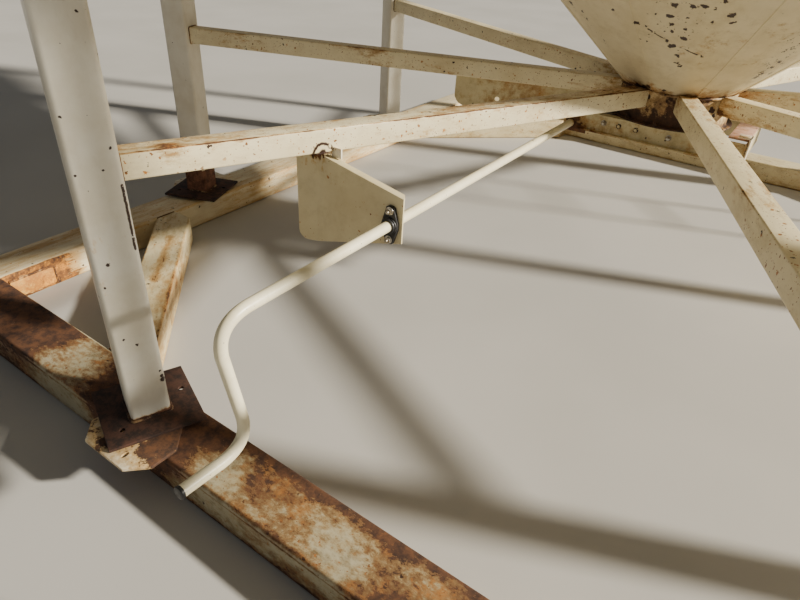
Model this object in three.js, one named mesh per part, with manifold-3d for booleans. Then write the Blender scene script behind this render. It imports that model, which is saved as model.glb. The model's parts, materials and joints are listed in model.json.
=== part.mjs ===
// Grain silo on a square skid base: steel hopper bottom, eight legs, crank-worked slide gate.
// Millimetres, +Z up, the ground at z = 0 and the silo's axis at x = y = 0.
import * as THREE from 'three';
import Module from 'manifold-3d';

const wasm = await Module();
wasm.setup();
const { Manifold, Mesh } = wasm;

// Layout
const LEG_CIRCLE = 2400;
const LEG_ANGLES = [22.5, 67.5, 112.5, 157.5, 202.5, 247.5, 292.5, 337.5];
const SLOTS = ['right_rear', 'rear_right', 'rear_left', 'left_rear',
  'left_front', 'front_left', 'front_right', 'right_front'];
const GAP = 0.3;

// Skid base
const BEAM_OUT = 2318;
const BEAM_IN = 2106;
const BEAM_H = 140;
const BEAM_WALL = 6;
const CORNER_FAR = 1198;
const CORNER_IN = 3181;
const CORNER_OUT = 3421;

// Feet and legs
const PLATE_T = 12;
const OUTRIGGER_W = 310;
const OUTRIGGER_SHIFT = 68;
const OUTRIGGER_REACH = 2427;
const OUTRIGGER_CUT = 60;
const OUTRIGGER_ROOT = 2130;
const FOOT_PLATE = 300;
const LEG = 125;
const LEG_WALL = 6;
const LEG_TOP = 2844;

// Braces and hub
const BRACE = 75;
const BRACE_WALL = 4;
const BRACE_Z_LEG = 993;
const BRACE_Z_HUB = 969;
const HUB_R = 240;
const HUB_WALL = 6;
const HUB_BOTTOM = 861.3;
const OUTLET_R = 175;

// Hopper cone, ring, barrel and roof
const CONE_LOW_R = 244.5;
const CONE_LOW_Z = 1001;
const BARREL_R = 2330;
const CONE_TOP_Z = 2856;
const GORES = 9;
const GORE_START = 20;
const RING_OUT = 2480;
const RING_H = 80;
const BARREL_WALL = 4;
const BARREL_TOP = 6450;
const EAVE_R = 2390;
const ROOF_WALL = 4;
const ROOF_NECK_R = 300;
const ROOF_RISE = 1100;
const LID_R = 340;
const LID_H = 110;

// Slide gate
const RAIL_Y = 200;
const RAIL_H = 86;
const RAIL_TOP = 861;
const RAIL_WALL = 5;
const RAIL_LEFT = -340;
const RAIL_RIGHT = 366;
const SLIDE_T = 6;
const SLIDE_TOP = 858;

// Crank
const ROD_X = -378;
const ROD_Z = 788;
const ROD_D = 33.7;
const ROD_END_Y = 222;
const BEARING_Y = -1625;
const PINION_R = 42;

function paint(colour, roughness = 0.6, metalness = 0.1) {
  return new THREE.MeshStandardMaterial({ color: colour, roughness, metalness });
}

const CREAM = 0xd8d0b6;
const WHITE = 0xdfdccf;
const RUST = 0x7a4a2c;
const DARK = 0x202022;
const STEEL = 0x8c8a85;

const root = new THREE.Group();
root.name = 'grain_silo';

function add(name, geometry, colour, roughness) {
  const mesh = new THREE.Mesh(geometry, paint(colour, roughness));
  mesh.name = name;
  root.add(mesh);
  return mesh;
}

// Geometry to manifold and back, for unions and cuts
function toSolid(geometry) {
  const plain = geometry.index ? geometry.toNonIndexed() : geometry;
  const points = plain.getAttribute('position');
  const seen = new Map();
  const verts = [];
  const tris = [];
  for (let i = 0; i < points.count; i += 1) {
    const key = [points.getX(i), points.getY(i), points.getZ(i)].map((v) => Math.round(v * 1e4)).join();
    if (!seen.has(key)) {
      seen.set(key, verts.length / 3);
      verts.push(points.getX(i), points.getY(i), points.getZ(i));
    }
    tris.push(seen.get(key));
  }
  const kept = [];
  for (let i = 0; i < tris.length; i += 3) {
    const [a, b, c] = tris.slice(i, i + 3);
    if (a !== b && b !== c && a !== c) {
      kept.push(a, b, c);
    }
  }
  return new Manifold(new Mesh({
    numProp: 3,
    vertProperties: new Float32Array(verts),
    triVerts: new Uint32Array(kept),
  }));
}

function fromSolid(solid) {
  const mesh = solid.getMesh();
  const geometry = new THREE.BufferGeometry();
  geometry.setAttribute('position', new THREE.BufferAttribute(new Float32Array(mesh.vertProperties), 3));
  geometry.setIndex(new THREE.BufferAttribute(new Uint32Array(mesh.triVerts), 1));
  const flat = geometry.toNonIndexed();
  flat.computeVertexNormals();
  return flat;
}

function fuse(...geometries) {
  return fromSolid(Manifold.union(geometries.map(toSolid)));
}

function cut(body, ...tools) {
  return fromSolid(tools.reduce((left, tool) => left.subtract(toSolid(tool)), toSolid(body)));
}

// Basic shapes
function box(x0, x1, y0, y1, z0, z1) {
  const geometry = new THREE.BoxGeometry(x1 - x0, y1 - y0, z1 - z0);
  return geometry.translate((x0 + x1) / 2, (y0 + y1) / 2, (z0 + z1) / 2);
}

function roundedPath(path, w, h, r) {
  const x = w / 2;
  const y = h / 2;
  path.moveTo(-x + r, -y);
  path.lineTo(x - r, -y);
  path.absarc(x - r, -y + r, r, -Math.PI / 2, 0, false);
  path.lineTo(x, y - r);
  path.absarc(x - r, y - r, r, 0, Math.PI / 2, false);
  path.lineTo(-x + r, y);
  path.absarc(-x + r, y - r, r, Math.PI / 2, Math.PI, false);
  path.lineTo(-x, -y + r);
  path.absarc(-x + r, -y + r, r, Math.PI, Math.PI * 1.5, false);
  return path;
}

// A rounded box section of the given width and height, from z = 0 up
function tube(w, h, wall, radius, length) {
  const shape = roundedPath(new THREE.Shape(), w, h, radius);
  if (wall > 0) {
    shape.holes.push(roundedPath(new THREE.Path(), w - 2 * wall, h - 2 * wall, radius - wall / 2));
  }
  return new THREE.ExtrudeGeometry(shape, { depth: length, bevelEnabled: false, curveSegments: 4 });
}

function prism(points, z0, z1) {
  const shape = new THREE.Shape(points.map(([x, y]) => new THREE.Vector2(x, y)));
  return new THREE.ExtrudeGeometry(shape, { depth: z1 - z0, bevelEnabled: false }).translate(0, 0, z0);
}

// A plate outlined in the XZ plane, from y0 to y1
function plateXZ(points, y0, y1) {
  const flat = prism(points, 0, y1 - y0);
  return flat.rotateX(Math.PI / 2).translate(0, y1, 0);
}

// Lays a section that was made along +Z so that it runs along +X
function alongX(geometry) {
  return geometry.rotateY(Math.PI / 2);
}

// A closed ring sector: the outline in (radius, z) carried from angle a0 to a1, in radians
function sector(outline, a0, a1, steps) {
  const profile = THREE.ShapeUtils.isClockWise(outline) ? [...outline].reverse() : outline;
  const n = profile.length;
  const points = [];
  const faces = [];
  const full = Math.abs(a1 - a0 - 2 * Math.PI) < 1e-9;
  const rings = full ? steps : steps + 1;
  for (let i = 0; i < rings; i += 1) {
    const a = a0 + (a1 - a0) * i / steps;
    profile.forEach((p) => points.push(p.x * Math.cos(a), p.x * Math.sin(a), p.y));
  }
  for (let i = 0; i < steps; i += 1) {
    const next = (i + 1) % rings;
    for (let j = 0; j < n; j += 1) {
      const k = (j + 1) % n;
      faces.push(i * n + j, next * n + j, next * n + k, i * n + j, next * n + k, i * n + k);
    }
  }
  if (!full) {
    const last = steps * n;
    THREE.ShapeUtils.triangulateShape(profile, []).forEach(([a, b, c]) => {
      faces.push(a, b, c, last + a, last + c, last + b);
    });
  }
  const geometry = new THREE.BufferGeometry();
  geometry.setAttribute('position', new THREE.Float32BufferAttribute(points, 3));
  geometry.setIndex(faces);
  const flat = geometry.toNonIndexed();
  flat.computeVertexNormals();
  const solid = toSolid(flat);
  if (solid.volume() < 0) {
    throw new Error('sector faces inward');
  }
  return flat;
}

function ringProfile(...pairs) {
  return pairs.map(([r, z]) => new THREE.Vector2(r, z));
}

function rotated(geometry, degrees) {
  return geometry.rotateZ(THREE.MathUtils.degToRad(degrees));
}

// Skid base: four box beams, mitred at the corners
function baseBeam() {
  const width = BEAM_OUT - BEAM_IN;
  const bar = tube(BEAM_H, width, BEAM_WALL, 14, 2 * BEAM_OUT);
  alongX(bar).translate(-BEAM_OUT, -(BEAM_OUT + BEAM_IN) / 2, BEAM_H / 2);
  const far = BEAM_OUT + 200;
  const near = BEAM_IN - 200;
  const shift = GAP / 2 * Math.SQRT2;
  const right = prism([[far - shift, -far], [far + 400, -far], [far + 400, -near], [near - shift, -near]],
    -1, BEAM_H + 1);
  const left = prism([[-far - 400, -far], [-far + shift, -far], [-near + shift, -near], [-far - 400, -near]],
    -1, BEAM_H + 1);
  return cut(bar, right, left);
}

['front', 'right', 'rear', 'left'].forEach((side, i) => {
  add(`base_beam_${side}`, rotated(baseBeam(), 90 * i), RUST, 0.85);
});

// Corner members: box members that cut the corners of the base
function cornerMember() {
  const inner = BEAM_IN - GAP;
  const outside = CORNER_OUT - inner;
  const inside = CORNER_IN - CORNER_FAR;
  const outline = [
    [-inner, -CORNER_FAR], [-inner, -outside], [-outside, -inner],
    [-CORNER_FAR, -inner], [-CORNER_FAR, -inside], [-inside, -CORNER_FAR],
  ];
  return prism(outline, 0, BEAM_H);
}

['front_left', 'front_right', 'rear_right', 'rear_left'].forEach((corner, i) => {
  add(`corner_member_${corner}`, rotated(cornerMember(), 90 * i), CREAM, 0.7);
});

// Legs: a square tube on a foot plate that faces the hub, on an outrigger plate that widens past the beam
function leg(angle) {
  const z0 = BEAM_H + GAP;
  const quadrant = Math.round(angle / 90) * 90;
  const offset = LEG_CIRCLE * Math.sin(THREE.MathUtils.degToRad(angle - quadrant));
  const middle = offset - Math.sign(offset) * OUTRIGGER_SHIFT;
  const low = middle - OUTRIGGER_W / 2;
  const high = middle + OUTRIGGER_W / 2;
  const reach = OUTRIGGER_REACH;
  const root = LEG / 2 + 30;
  const outrigger = prism([
    [OUTRIGGER_ROOT, offset - root], [BEAM_OUT - 40, low], [reach - OUTRIGGER_CUT, low],
    [reach, low + OUTRIGGER_CUT], [reach, high - OUTRIGGER_CUT], [reach - OUTRIGGER_CUT, high],
    [BEAM_OUT - 40, high], [OUTRIGGER_ROOT, offset + root],
  ], z0, z0 + PLATE_T);
  rotated(outrigger, quadrant);
  const half = FOOT_PLATE / 2;
  const plate = box(LEG_CIRCLE - half, LEG_CIRCLE + half, -half, half, z0 + PLATE_T - 0.5, z0 + 2 * PLATE_T);
  const post = tube(LEG, LEG, LEG_WALL, 14, LEG_TOP - GAP - z0 - 2 * PLATE_T + 0.5);
  post.translate(LEG_CIRCLE, 0, z0 + 2 * PLATE_T - 0.5);
  return fuse(outrigger, rotated(plate, angle), rotated(post, angle));
}

SLOTS.forEach((slot, i) => add(`leg_${slot}`, leg(LEG_ANGLES[i]), WHITE, 0.5));

// Braces: square tubes that fall slightly from each leg to the hub, coped under the cone
const CONE_SLOPE = (CONE_TOP_Z - CONE_LOW_Z) / (BARREL_R - BARREL_WALL - CONE_LOW_R);
const CLEAR_R = CONE_LOW_R + GAP;
const CLEAR_Z = CONE_LOW_Z - GAP;
const coneSpace = sector(ringProfile(
  [10, CLEAR_Z - 8], [CLEAR_R, CLEAR_Z - 8], [CLEAR_R, CLEAR_Z],
  [CLEAR_R + 400, CLEAR_Z + 400 * CONE_SLOPE], [10, CLEAR_Z + 400 * CONE_SLOPE],
), 0, 2 * Math.PI, 96);
const BRACE_IN = HUB_R + GAP;
const BRACE_OUT = LEG_CIRCLE - LEG / 2 - GAP;
const BRACE_FALL = Math.atan2(BRACE_Z_LEG - BRACE_Z_HUB, BRACE_OUT - BRACE_IN);

function braceZ(radius) {
  return BRACE_Z_HUB + (radius - BRACE_IN) * Math.tan(BRACE_FALL);
}

function brace(angle) {
  const bar = alongX(tube(BRACE, BRACE, BRACE_WALL, 8, BRACE_OUT - BRACE_IN + 20));
  bar.translate(-10, 0, 0).rotateY(-BRACE_FALL).translate(BRACE_IN, 0, BRACE_Z_HUB);
  const ends = [BRACE_IN - 40, BRACE_OUT].map((x) => box(x, x + 40, -80, 80, 800, 1100));
  return cut(rotated(cut(bar, ...ends), angle), coneSpace);
}

SLOTS.forEach((slot, i) => add(`brace_${slot}`, brace(LEG_ANGLES[i]), CREAM, 0.6));

// Hub: the round spout under the cone that the braces meet
add('hub_spout', sector(ringProfile(
  [OUTLET_R, HUB_BOTTOM], [HUB_R + 24, HUB_BOTTOM], [HUB_R + 24, HUB_BOTTOM + 8],
  [HUB_R, HUB_BOTTOM + 8], [HUB_R, CONE_LOW_Z - 8], [HUB_R - HUB_WALL, CONE_LOW_Z - 8],
  [HUB_R - HUB_WALL, HUB_BOTTOM + 8], [OUTLET_R, HUB_BOTTOM + 8],
), 0, 2 * Math.PI, 64), RUST, 0.8);

// Hopper cone in nine gores, the ring on the legs, the barrel and the roof
const QUARTERS = ['rear_right', 'rear_left', 'front_left', 'front_right'];

function shell(outline, radius, names, start, steps) {
  const slack = GAP / 2 / radius;
  const width = 2 * Math.PI / names.length;
  const from = THREE.MathUtils.degToRad(start);
  return names.map((name, i) => [
    name, sector(outline, from + width * i + slack, from + width * (i + 1) - slack, steps),
  ]);
}

const coneOutline = ringProfile(
  [CONE_LOW_R, CONE_LOW_Z], [BARREL_R - BARREL_WALL, CONE_TOP_Z],
  [BARREL_R - BARREL_WALL, CONE_TOP_Z + 6], [HUB_R - HUB_WALL, CONE_LOW_Z + 2],
  [HUB_R - HUB_WALL, CONE_LOW_Z - 8 + GAP], [CONE_LOW_R, CONE_LOW_Z - 8 + GAP],
);
const goreNames = Array.from({ length: GORES }, (unused, i) => `${i + 1}`);
shell(coneOutline, CONE_LOW_R, goreNames, GORE_START, 11).forEach(([name, geometry]) => {
  add(`hopper_gore_${name}`, geometry, CREAM, 0.5);
});

const ringZ = LEG_TOP;
add('leg_ring', sector(ringProfile(
  [BARREL_R + GAP, ringZ], [RING_OUT, ringZ], [RING_OUT, ringZ + 8], [BARREL_R + 8, ringZ + 8],
  [BARREL_R + 8, ringZ + RING_H - 8], [RING_OUT, ringZ + RING_H - 8], [RING_OUT, ringZ + RING_H],
  [BARREL_R + GAP, ringZ + RING_H],
), 0, 2 * Math.PI, 96), CREAM, 0.6);

const barrelOutline = ringProfile(
  [BARREL_R - BARREL_WALL, CONE_TOP_Z + 6 + GAP], [BARREL_R, CONE_TOP_Z + 6 + GAP],
  [BARREL_R, BARREL_TOP], [BARREL_R - BARREL_WALL, BARREL_TOP],
);
shell(barrelOutline, BARREL_R, QUARTERS, 0, 24).forEach(([name, geometry]) => {
  add(`barrel_panel_${name}`, geometry, CREAM, 0.5);
});

const roofLow = BARREL_TOP + GAP;
const roofOutline = ringProfile(
  [EAVE_R, roofLow - 40], [EAVE_R, roofLow + ROOF_WALL], [ROOF_NECK_R, roofLow + ROOF_WALL + ROOF_RISE],
  [ROOF_NECK_R, roofLow + ROOF_RISE], [BARREL_R, roofLow], [EAVE_R - ROOF_WALL, roofLow],
  [EAVE_R - ROOF_WALL, roofLow - 40],
);
shell(roofOutline, ROOF_NECK_R, QUARTERS, 0, 24).forEach(([name, geometry]) => {
  add(`roof_panel_${name}`, geometry, CREAM, 0.5);
});

// Filler neck and lid on the top
const neckLow = roofLow + ROOF_RISE + ROOF_WALL + GAP;
add('filler_neck', sector(ringProfile(
  [ROOF_NECK_R - 4, neckLow - 30], [ROOF_NECK_R - GAP, neckLow - 30], [ROOF_NECK_R - GAP, neckLow],
  [ROOF_NECK_R + 4, neckLow], [ROOF_NECK_R + 4, neckLow + 120], [ROOF_NECK_R - 4, neckLow + 120],
), 0, 2 * Math.PI, 48), CREAM, 0.5);
add('filler_lid', new THREE.LatheGeometry([
  [0, 120 + GAP], [LID_R - 4, 120 + GAP], [LID_R - 4, 60], [LID_R, 60], [LID_R, 128], [0, LID_H + 90],
].map(([r, z]) => new THREE.Vector2(r, neckLow + z)), 48).rotateX(Math.PI / 2), CREAM, 0.5);

// Slide gate: two side rails under the hub flange, tied across, with lugs for the crank rod
function gateFrame() {
  const z1 = RAIL_TOP;
  const z0 = z1 - RAIL_H;
  const pieces = [];
  [-1, 1].forEach((side) => {
    const outer = side * (RAIL_Y + RAIL_WALL);
    const web = [Math.min(side * RAIL_Y, outer), Math.max(side * RAIL_Y, outer)];
    const lip = side > 0 ? [RAIL_Y, RAIL_Y + 30] : [-RAIL_Y - 30, -RAIL_Y];
    const shelf = side > 0 ? [RAIL_Y - 22, RAIL_Y + 1] : [-RAIL_Y - 1, -RAIL_Y + 22];
    pieces.push(box(RAIL_LEFT, RAIL_RIGHT, ...web, z0, z1));
    pieces.push(box(RAIL_LEFT, RAIL_RIGHT, ...lip, z0, z0 + RAIL_WALL));
    pieces.push(box(RAIL_LEFT, RAIL_RIGHT, ...shelf, SLIDE_TOP - SLIDE_T - 6, SLIDE_TOP - SLIDE_T - 0.5));
    const lug = [
      [ROD_X - 34, ROD_Z - 34], [RAIL_LEFT + 40, ROD_Z - 34], [RAIL_LEFT + 40, z1],
      [ROD_X - 10, z1], [ROD_X - 34, z1 - 24],
    ];
    pieces.push(plateXZ(lug, ...web));
  });
  pieces.push(box(RAIL_RIGHT - 6, RAIL_RIGHT, -RAIL_Y - 1, RAIL_Y + 1, z0, z1));
  pieces.push(box(-244, 244, -RAIL_Y - 40, -RAIL_Y - 3, z1 - 5, z1));
  pieces.push(box(-244, 244, RAIL_Y + 3, RAIL_Y + 40, z1 - 5, z1));
  const bore = new THREE.CylinderGeometry(ROD_D / 2 + 0.7, ROD_D / 2 + 0.7, 2 * RAIL_Y + 40, 32);
  return cut(fuse(...pieces), bore.translate(ROD_X, 0, ROD_Z));
}
add('gate_frame', gateFrame(), CREAM, 0.6);

function gateSlide() {
  const plate = box(-470, 214, -RAIL_Y + 6, RAIL_Y - 6, SLIDE_TOP - SLIDE_T, SLIDE_TOP);
  const lip = box(-470, -464, -RAIL_Y + 30, RAIL_Y - 30, SLIDE_TOP - 26, SLIDE_TOP);
  const rackLow = ROD_Z + PINION_R + 4;
  const racks = [-90, 90].map((y) => box(-464, -40, y - 10, y + 10, rackLow, SLIDE_TOP - SLIDE_T + 1));
  return fuse(plate, lip, ...racks);
}
add('gate_slide', gateSlide(), STEEL, 0.5);

// Crank: one bent pipe from the far lug to the grip
function crankPath() {
  const line = new THREE.CurvePath();
  const p = (y, z) => new THREE.Vector3(ROD_X, y, z);
  line.add(new THREE.LineCurve3(p(ROD_END_Y, ROD_Z), p(-2200, ROD_Z)));
  line.add(new THREE.QuadraticBezierCurve3(p(-2200, ROD_Z), p(-2309, ROD_Z), p(-2300, ROD_Z - 100)));
  line.add(new THREE.LineCurve3(p(-2300, ROD_Z - 100), p(-2263, 470)));
  line.add(new THREE.QuadraticBezierCurve3(p(-2263, 470), p(-2248, 370), p(-2345, 369)));
  line.add(new THREE.LineCurve3(p(-2345, 369), p(-2469, 376)));
  return line;
}

function bentPipe(path, radius, steps, sides) {
  const rings = [];
  const marks = [];
  path.curves.forEach((curve) => {
    const parts = curve instanceof THREE.LineCurve3 ? 1 : steps;
    for (let i = 0; i < parts; i += 1) {
      marks.push([curve.getPoint(i / parts), curve.getTangent(i / parts)]);
    }
  });
  const end = path.curves[path.curves.length - 1];
  marks.push([end.getPoint(1), end.getTangent(1)]);
  const across = new THREE.Vector3(1, 0, 0);
  marks.forEach(([point, tangent]) => {
    const up = new THREE.Vector3().crossVectors(tangent, across).normalize();
    const ring = [];
    for (let i = 0; i < sides; i += 1) {
      const a = 2 * Math.PI * i / sides;
      const out = point.clone().addScaledVector(across, radius * Math.cos(a));
      ring.push(out.addScaledVector(up, radius * Math.sin(a)));
    }
    rings.push(ring);
  });
  const points = [];
  const faces = [];
  rings.flat().forEach((v) => points.push(v.x, v.y, v.z));
  for (let i = 0; i + 1 < rings.length; i += 1) {
    for (let j = 0; j < sides; j += 1) {
      const k = (j + 1) % sides;
      const here = i * sides;
      const next = here + sides;
      faces.push(here + j, next + k, next + j, here + j, here + k, next + k);
    }
  }
  const last = (rings.length - 1) * sides;
  for (let j = 1; j + 1 < sides; j += 1) {
    faces.push(0, j + 1, j, last, last + j, last + j + 1);
  }
  const geometry = new THREE.BufferGeometry();
  geometry.setAttribute('position', new THREE.Float32BufferAttribute(points, 3));
  geometry.setIndex(faces);
  return geometry.toNonIndexed();
}

add('crank_rod', fromSolid(toSolid(bentPipe(crankPath(), ROD_D / 2, 12, 32))), WHITE, 0.5);

function collar(y0, y1, radius, bore) {
  const middle = (y0 + y1) / 2;
  const ring = new THREE.CylinderGeometry(radius, radius, y1 - y0, 40).translate(ROD_X, middle, ROD_Z);
  const hole = new THREE.CylinderGeometry(bore, bore, y1 - y0 + 4, 40).translate(ROD_X, middle, ROD_Z);
  return cut(ring, hole);
}
add('pinion_near', collar(-106, -74, PINION_R, ROD_D / 2 + GAP), STEEL, 0.5);
add('pinion_far', collar(74, 106, PINION_R, ROD_D / 2 + GAP), STEEL, 0.5);

const capTilt = Math.atan2(7, 124);
const cap = new THREE.CylinderGeometry(ROD_D / 2 + 1.6, ROD_D / 2 + 1.6, 9, 32);
cap.rotateX(-capTilt).translate(ROD_X, -2469 - 4.9, 376.3);
add('crank_end_cap', cap, DARK, 0.6);

// Bracket: a folded plate hung under the front left brace, and the rod's flange bearing on it
const BRACKET_ROOT_X = -677;
const BRACKET_END_X = -338;
const BRACKET_T = 6;

function bracket() {
  const hung = braceZ(Math.hypot(BRACKET_ROOT_X, BEARING_Y)) - BRACE / 2 - 1.2;
  const near = BEARING_Y - BRACKET_T / 2;
  const far = BEARING_Y + BRACKET_T / 2;
  const main = plateXZ([
    [BRACKET_ROOT_X, 627], [BRACKET_END_X, 733], [BRACKET_END_X, 880], [BRACKET_ROOT_X + 30, 934],
    [BRACKET_ROOT_X + 22, hung], [BRACKET_ROOT_X - 22, hung], [BRACKET_ROOT_X, 934],
  ], near, far);
  const lip = plateXZ([
    [BRACKET_END_X, 874], [BRACKET_END_X, 880], [BRACKET_ROOT_X + 30, 934], [BRACKET_ROOT_X + 30, 928],
  ], near, far + 24);
  const root = plateXZ([[0, 627], [-38, 629], [-58, 640], [-68, 664], [-68, 934], [0, 934]], -3, 3);
  root.rotateZ(THREE.MathUtils.degToRad(25)).translate(BRACKET_ROOT_X + 1, BEARING_Y, 0);
  return fuse(main, lip, root);
}
add('rod_bracket', cut(bracket(), new THREE.CylinderGeometry(ROD_D / 2 + 0.8, ROD_D / 2 + 0.8, 40, 32)
  .translate(ROD_X, BEARING_Y, ROD_Z)), CREAM, 0.6);

function bearing() {
  const y = BEARING_Y - 3 - GAP;
  const shape = new THREE.Shape();
  shape.absarc(0, 47, 16, 0, Math.PI, false);
  shape.absarc(0, 0, 29, Math.PI - 0.3, Math.PI + 0.3, false);
  shape.absarc(0, -47, 16, Math.PI, 2 * Math.PI, false);
  shape.absarc(0, 0, 29, -0.3, 0.3, false);
  const flange = new THREE.ExtrudeGeometry(shape, { depth: 12, bevelEnabled: false, curveSegments: 12 });
  flange.rotateX(Math.PI / 2).translate(ROD_X, y, ROD_Z);
  const boss = new THREE.CylinderGeometry(25, 25, 26, 40).translate(ROD_X, y - 13, ROD_Z);
  const bore = new THREE.CylinderGeometry(ROD_D / 2 + 0.7, ROD_D / 2 + 0.7, 60, 40).translate(ROD_X, y, ROD_Z);
  return cut(fuse(flange, boss), bore);
}
add('rod_bearing', bearing(), DARK, 0.5);

// Stiffener plate under the left front brace
function stiffener() {
  const low = 797;
  const top = (radius) => braceZ(radius) - BRACE / 2 - 0.6;
  const plate = plateXZ([
    [300, top(300)], [300, 880], [540, 880], [560, low], [930, low], [960, low + 8],
    [980, low + 28], [988, low + 56], [988, top(988)],
  ], -3, 3);
  return rotated(plate, 202.5);
}
add('brace_stiffener', stiffener(), CREAM, 0.6);

// Ladder from the ground to the eave, at the rear right corner
const LADDER_R = BARREL_R + 200;
const LADDER_HALF = 200;
const LADDER_TOP = BARREL_TOP + 700;
const CORNER_FACE = CORNER_OUT / Math.SQRT2;

function ladder() {
  const bothSides = (x0, x1, z0, z1) => [-LADDER_HALF, LADDER_HALF]
    .map((y) => box(x0, x1, y - 5, y + 5, z0, z1));
  const pieces = bothSides(LADDER_R - 20, LADDER_R + 20, 0, LADDER_TOP);
  for (let z = 300; z < BARREL_TOP; z += 300) {
    pieces.push(new THREE.CylinderGeometry(11, 11, 2 * LADDER_HALF, 12).translate(LADDER_R, 0, z));
  }
  for (let z = 3360; z < BARREL_TOP; z += 1450) {
    pieces.push(...bothSides(BARREL_R - 8.8, LADDER_R - 15, z - 20, z + 20));
  }
  pieces.push(...bothSides(CORNER_FACE + GAP, LADDER_R - 15, 60, 100));
  return rotated(fuse(...pieces), 45);
}
add('ladder', ladder(), STEEL, 0.6);

export default root;
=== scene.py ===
# %% [markdown]
# # A grain silo on a skid base
# This lesson dresses a hopper-bottomed steel silo. Its solids come from the imported model, in
# metres, with the ground at z = 0 and the silo's axis at x = y = 0. What one sees from close by is
# its foot: square legs on rusted plates, eight braces that meet at a hub, the tip of the hopper
# cone, and a long crank that works the slide gate. We start from an empty scene and load the frame.

# %% Load the frame
import json
import math

import bpy
from mathutils import Matrix, Vector

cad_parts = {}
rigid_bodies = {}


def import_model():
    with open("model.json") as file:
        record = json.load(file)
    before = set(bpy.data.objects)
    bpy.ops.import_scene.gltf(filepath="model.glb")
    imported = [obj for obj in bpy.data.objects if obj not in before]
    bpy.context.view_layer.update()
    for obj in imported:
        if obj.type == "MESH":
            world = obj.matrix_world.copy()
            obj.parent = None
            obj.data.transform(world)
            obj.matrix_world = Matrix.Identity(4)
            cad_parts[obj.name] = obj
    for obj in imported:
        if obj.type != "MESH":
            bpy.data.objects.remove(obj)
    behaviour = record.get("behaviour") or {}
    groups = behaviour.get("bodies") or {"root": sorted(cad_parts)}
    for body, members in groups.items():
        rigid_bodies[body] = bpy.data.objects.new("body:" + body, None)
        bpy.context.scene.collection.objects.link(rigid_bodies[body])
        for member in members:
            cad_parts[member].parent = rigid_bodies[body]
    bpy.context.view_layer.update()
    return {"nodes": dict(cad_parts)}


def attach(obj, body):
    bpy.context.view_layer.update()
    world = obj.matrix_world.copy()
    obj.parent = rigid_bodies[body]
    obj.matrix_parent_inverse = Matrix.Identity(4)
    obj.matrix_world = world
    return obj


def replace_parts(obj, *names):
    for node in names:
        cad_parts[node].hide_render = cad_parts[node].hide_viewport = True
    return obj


bpy.ops.object.select_all(action="SELECT")
bpy.ops.object.delete()
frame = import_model()

# %% [markdown]
# ## Picking and placing
# Every piece is made at its size and place. The place could stay on the object, but a finished
# piece has to sit at the origin, so `settle` writes it into the mesh. `pick` leaves only the given
# objects selected, because an operator acts on all that is selected.

# %% Pick and settle
def pick(*objects):
    bpy.ops.object.select_all(action="DESELECT")
    for obj in objects:
        obj.select_set(True)
    bpy.context.view_layer.objects.active = objects[0]


def settle(obj, name=None, spot=None, turn=None):
    """Moves and turns an object if asked, then writes its place into its mesh."""
    if spot is not None:
        obj.location = spot
    if turn is not None:
        obj.rotation_euler = turn
    pick(obj)
    bpy.ops.object.transform_apply(location=True, rotation=True, scale=True)
    if name:
        obj.name = obj.data.name = name
    return obj


print("settled pieces have their origin at", tuple(bpy.context.scene.cursor.location))

# %% [markdown]
# What repeats is modelled once and copied round the silo's axis. A linked copy would share its
# mesh, and nothing could then be done to one copy alone, so each copy gets its own. A copy can also
# hide the solid of the frame that it stands for. The model is deleted.

# %% Copies
def turned(obj, degrees):
    return settle(obj, turn=(0, 0, math.radians(degrees)))


def twin(obj, name):
    """A copy with a mesh of its own."""
    pick(obj)
    bpy.ops.object.duplicate(linked=False)
    made = bpy.context.object
    made.name = made.data.name = name
    return made


def scrap(*models):
    pick(*models)
    bpy.ops.object.delete()


def spread(model, word, ends, start=0.0, mark=None, node=None):
    """Copies called word_end, at equal angles round the axis. mark gets each one unturned."""
    made = []
    for i, end in enumerate(ends):
        obj = twin(model, f"{word}_{end}")
        if mark:
            mark(obj, i)
        made.append(turned(obj, start + 360 / len(ends) * i))
        if node:
            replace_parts(obj, f"{node}_{end}")
    print(len(made), "times", word, "with", len(model.data.polygons), "faces each")
    scrap(model)
    return made


# %% [markdown]
# A step in edit mode works on selected faces or edges. They could be picked by number, but numbers
# change with every step. Picked by where they are and which way they point, they are still found
# when a size changes.

# %% Faces and edges by place
def select_parts(obj, kind, wanted):
    """Selects faces or edges for which wanted(middle, direction) is true."""
    mesh = obj.data
    for part in (mesh.vertices, mesh.edges, mesh.polygons):
        part.foreach_set("select", [False] * len(part))
    if kind == "FACE":
        for face in mesh.polygons:
            face.select = bool(wanted(face.center, face.normal))
    else:
        for edge in mesh.edges:
            a, b = (mesh.vertices[i].co for i in edge.vertices)
            edge.select = bool(wanted((a + b) / 2, (b - a).normalized()))
    bpy.context.tool_settings.mesh_select_mode = (False, kind == "EDGE", kind == "FACE")


def edit(obj, kind, wanted, *steps):
    """Enters edit mode with the wanted parts selected and runs the steps."""
    pick(obj)
    select_parts(obj, kind, wanted)
    bpy.ops.object.mode_set(mode="EDIT")
    for step in steps:
        step()
    bpy.ops.object.mode_set(mode="OBJECT")
    return obj


def everything(middle, direction):
    return True


print("faces and edges are picked in", bpy.context.mode, "mode")

# %% [markdown]
# ## The skid base
# Four box beams lie on the ground in a square. Such a beam could be four plates, but only its
# outside shows, so it is a block whose long edges are rounded as on a cold-rolled tube. Other
# helpers cut off what lies beyond a plane, pull faces out, and shade a piece smooth where its faces
# meet at a small angle.

# %% Block, rounding and cutting
def block(name, size, middle):
    bpy.ops.object.select_all(action="DESELECT")
    bpy.ops.mesh.primitive_cube_add(size=1, location=middle, scale=size)
    return settle(bpy.context.object, name)


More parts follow.
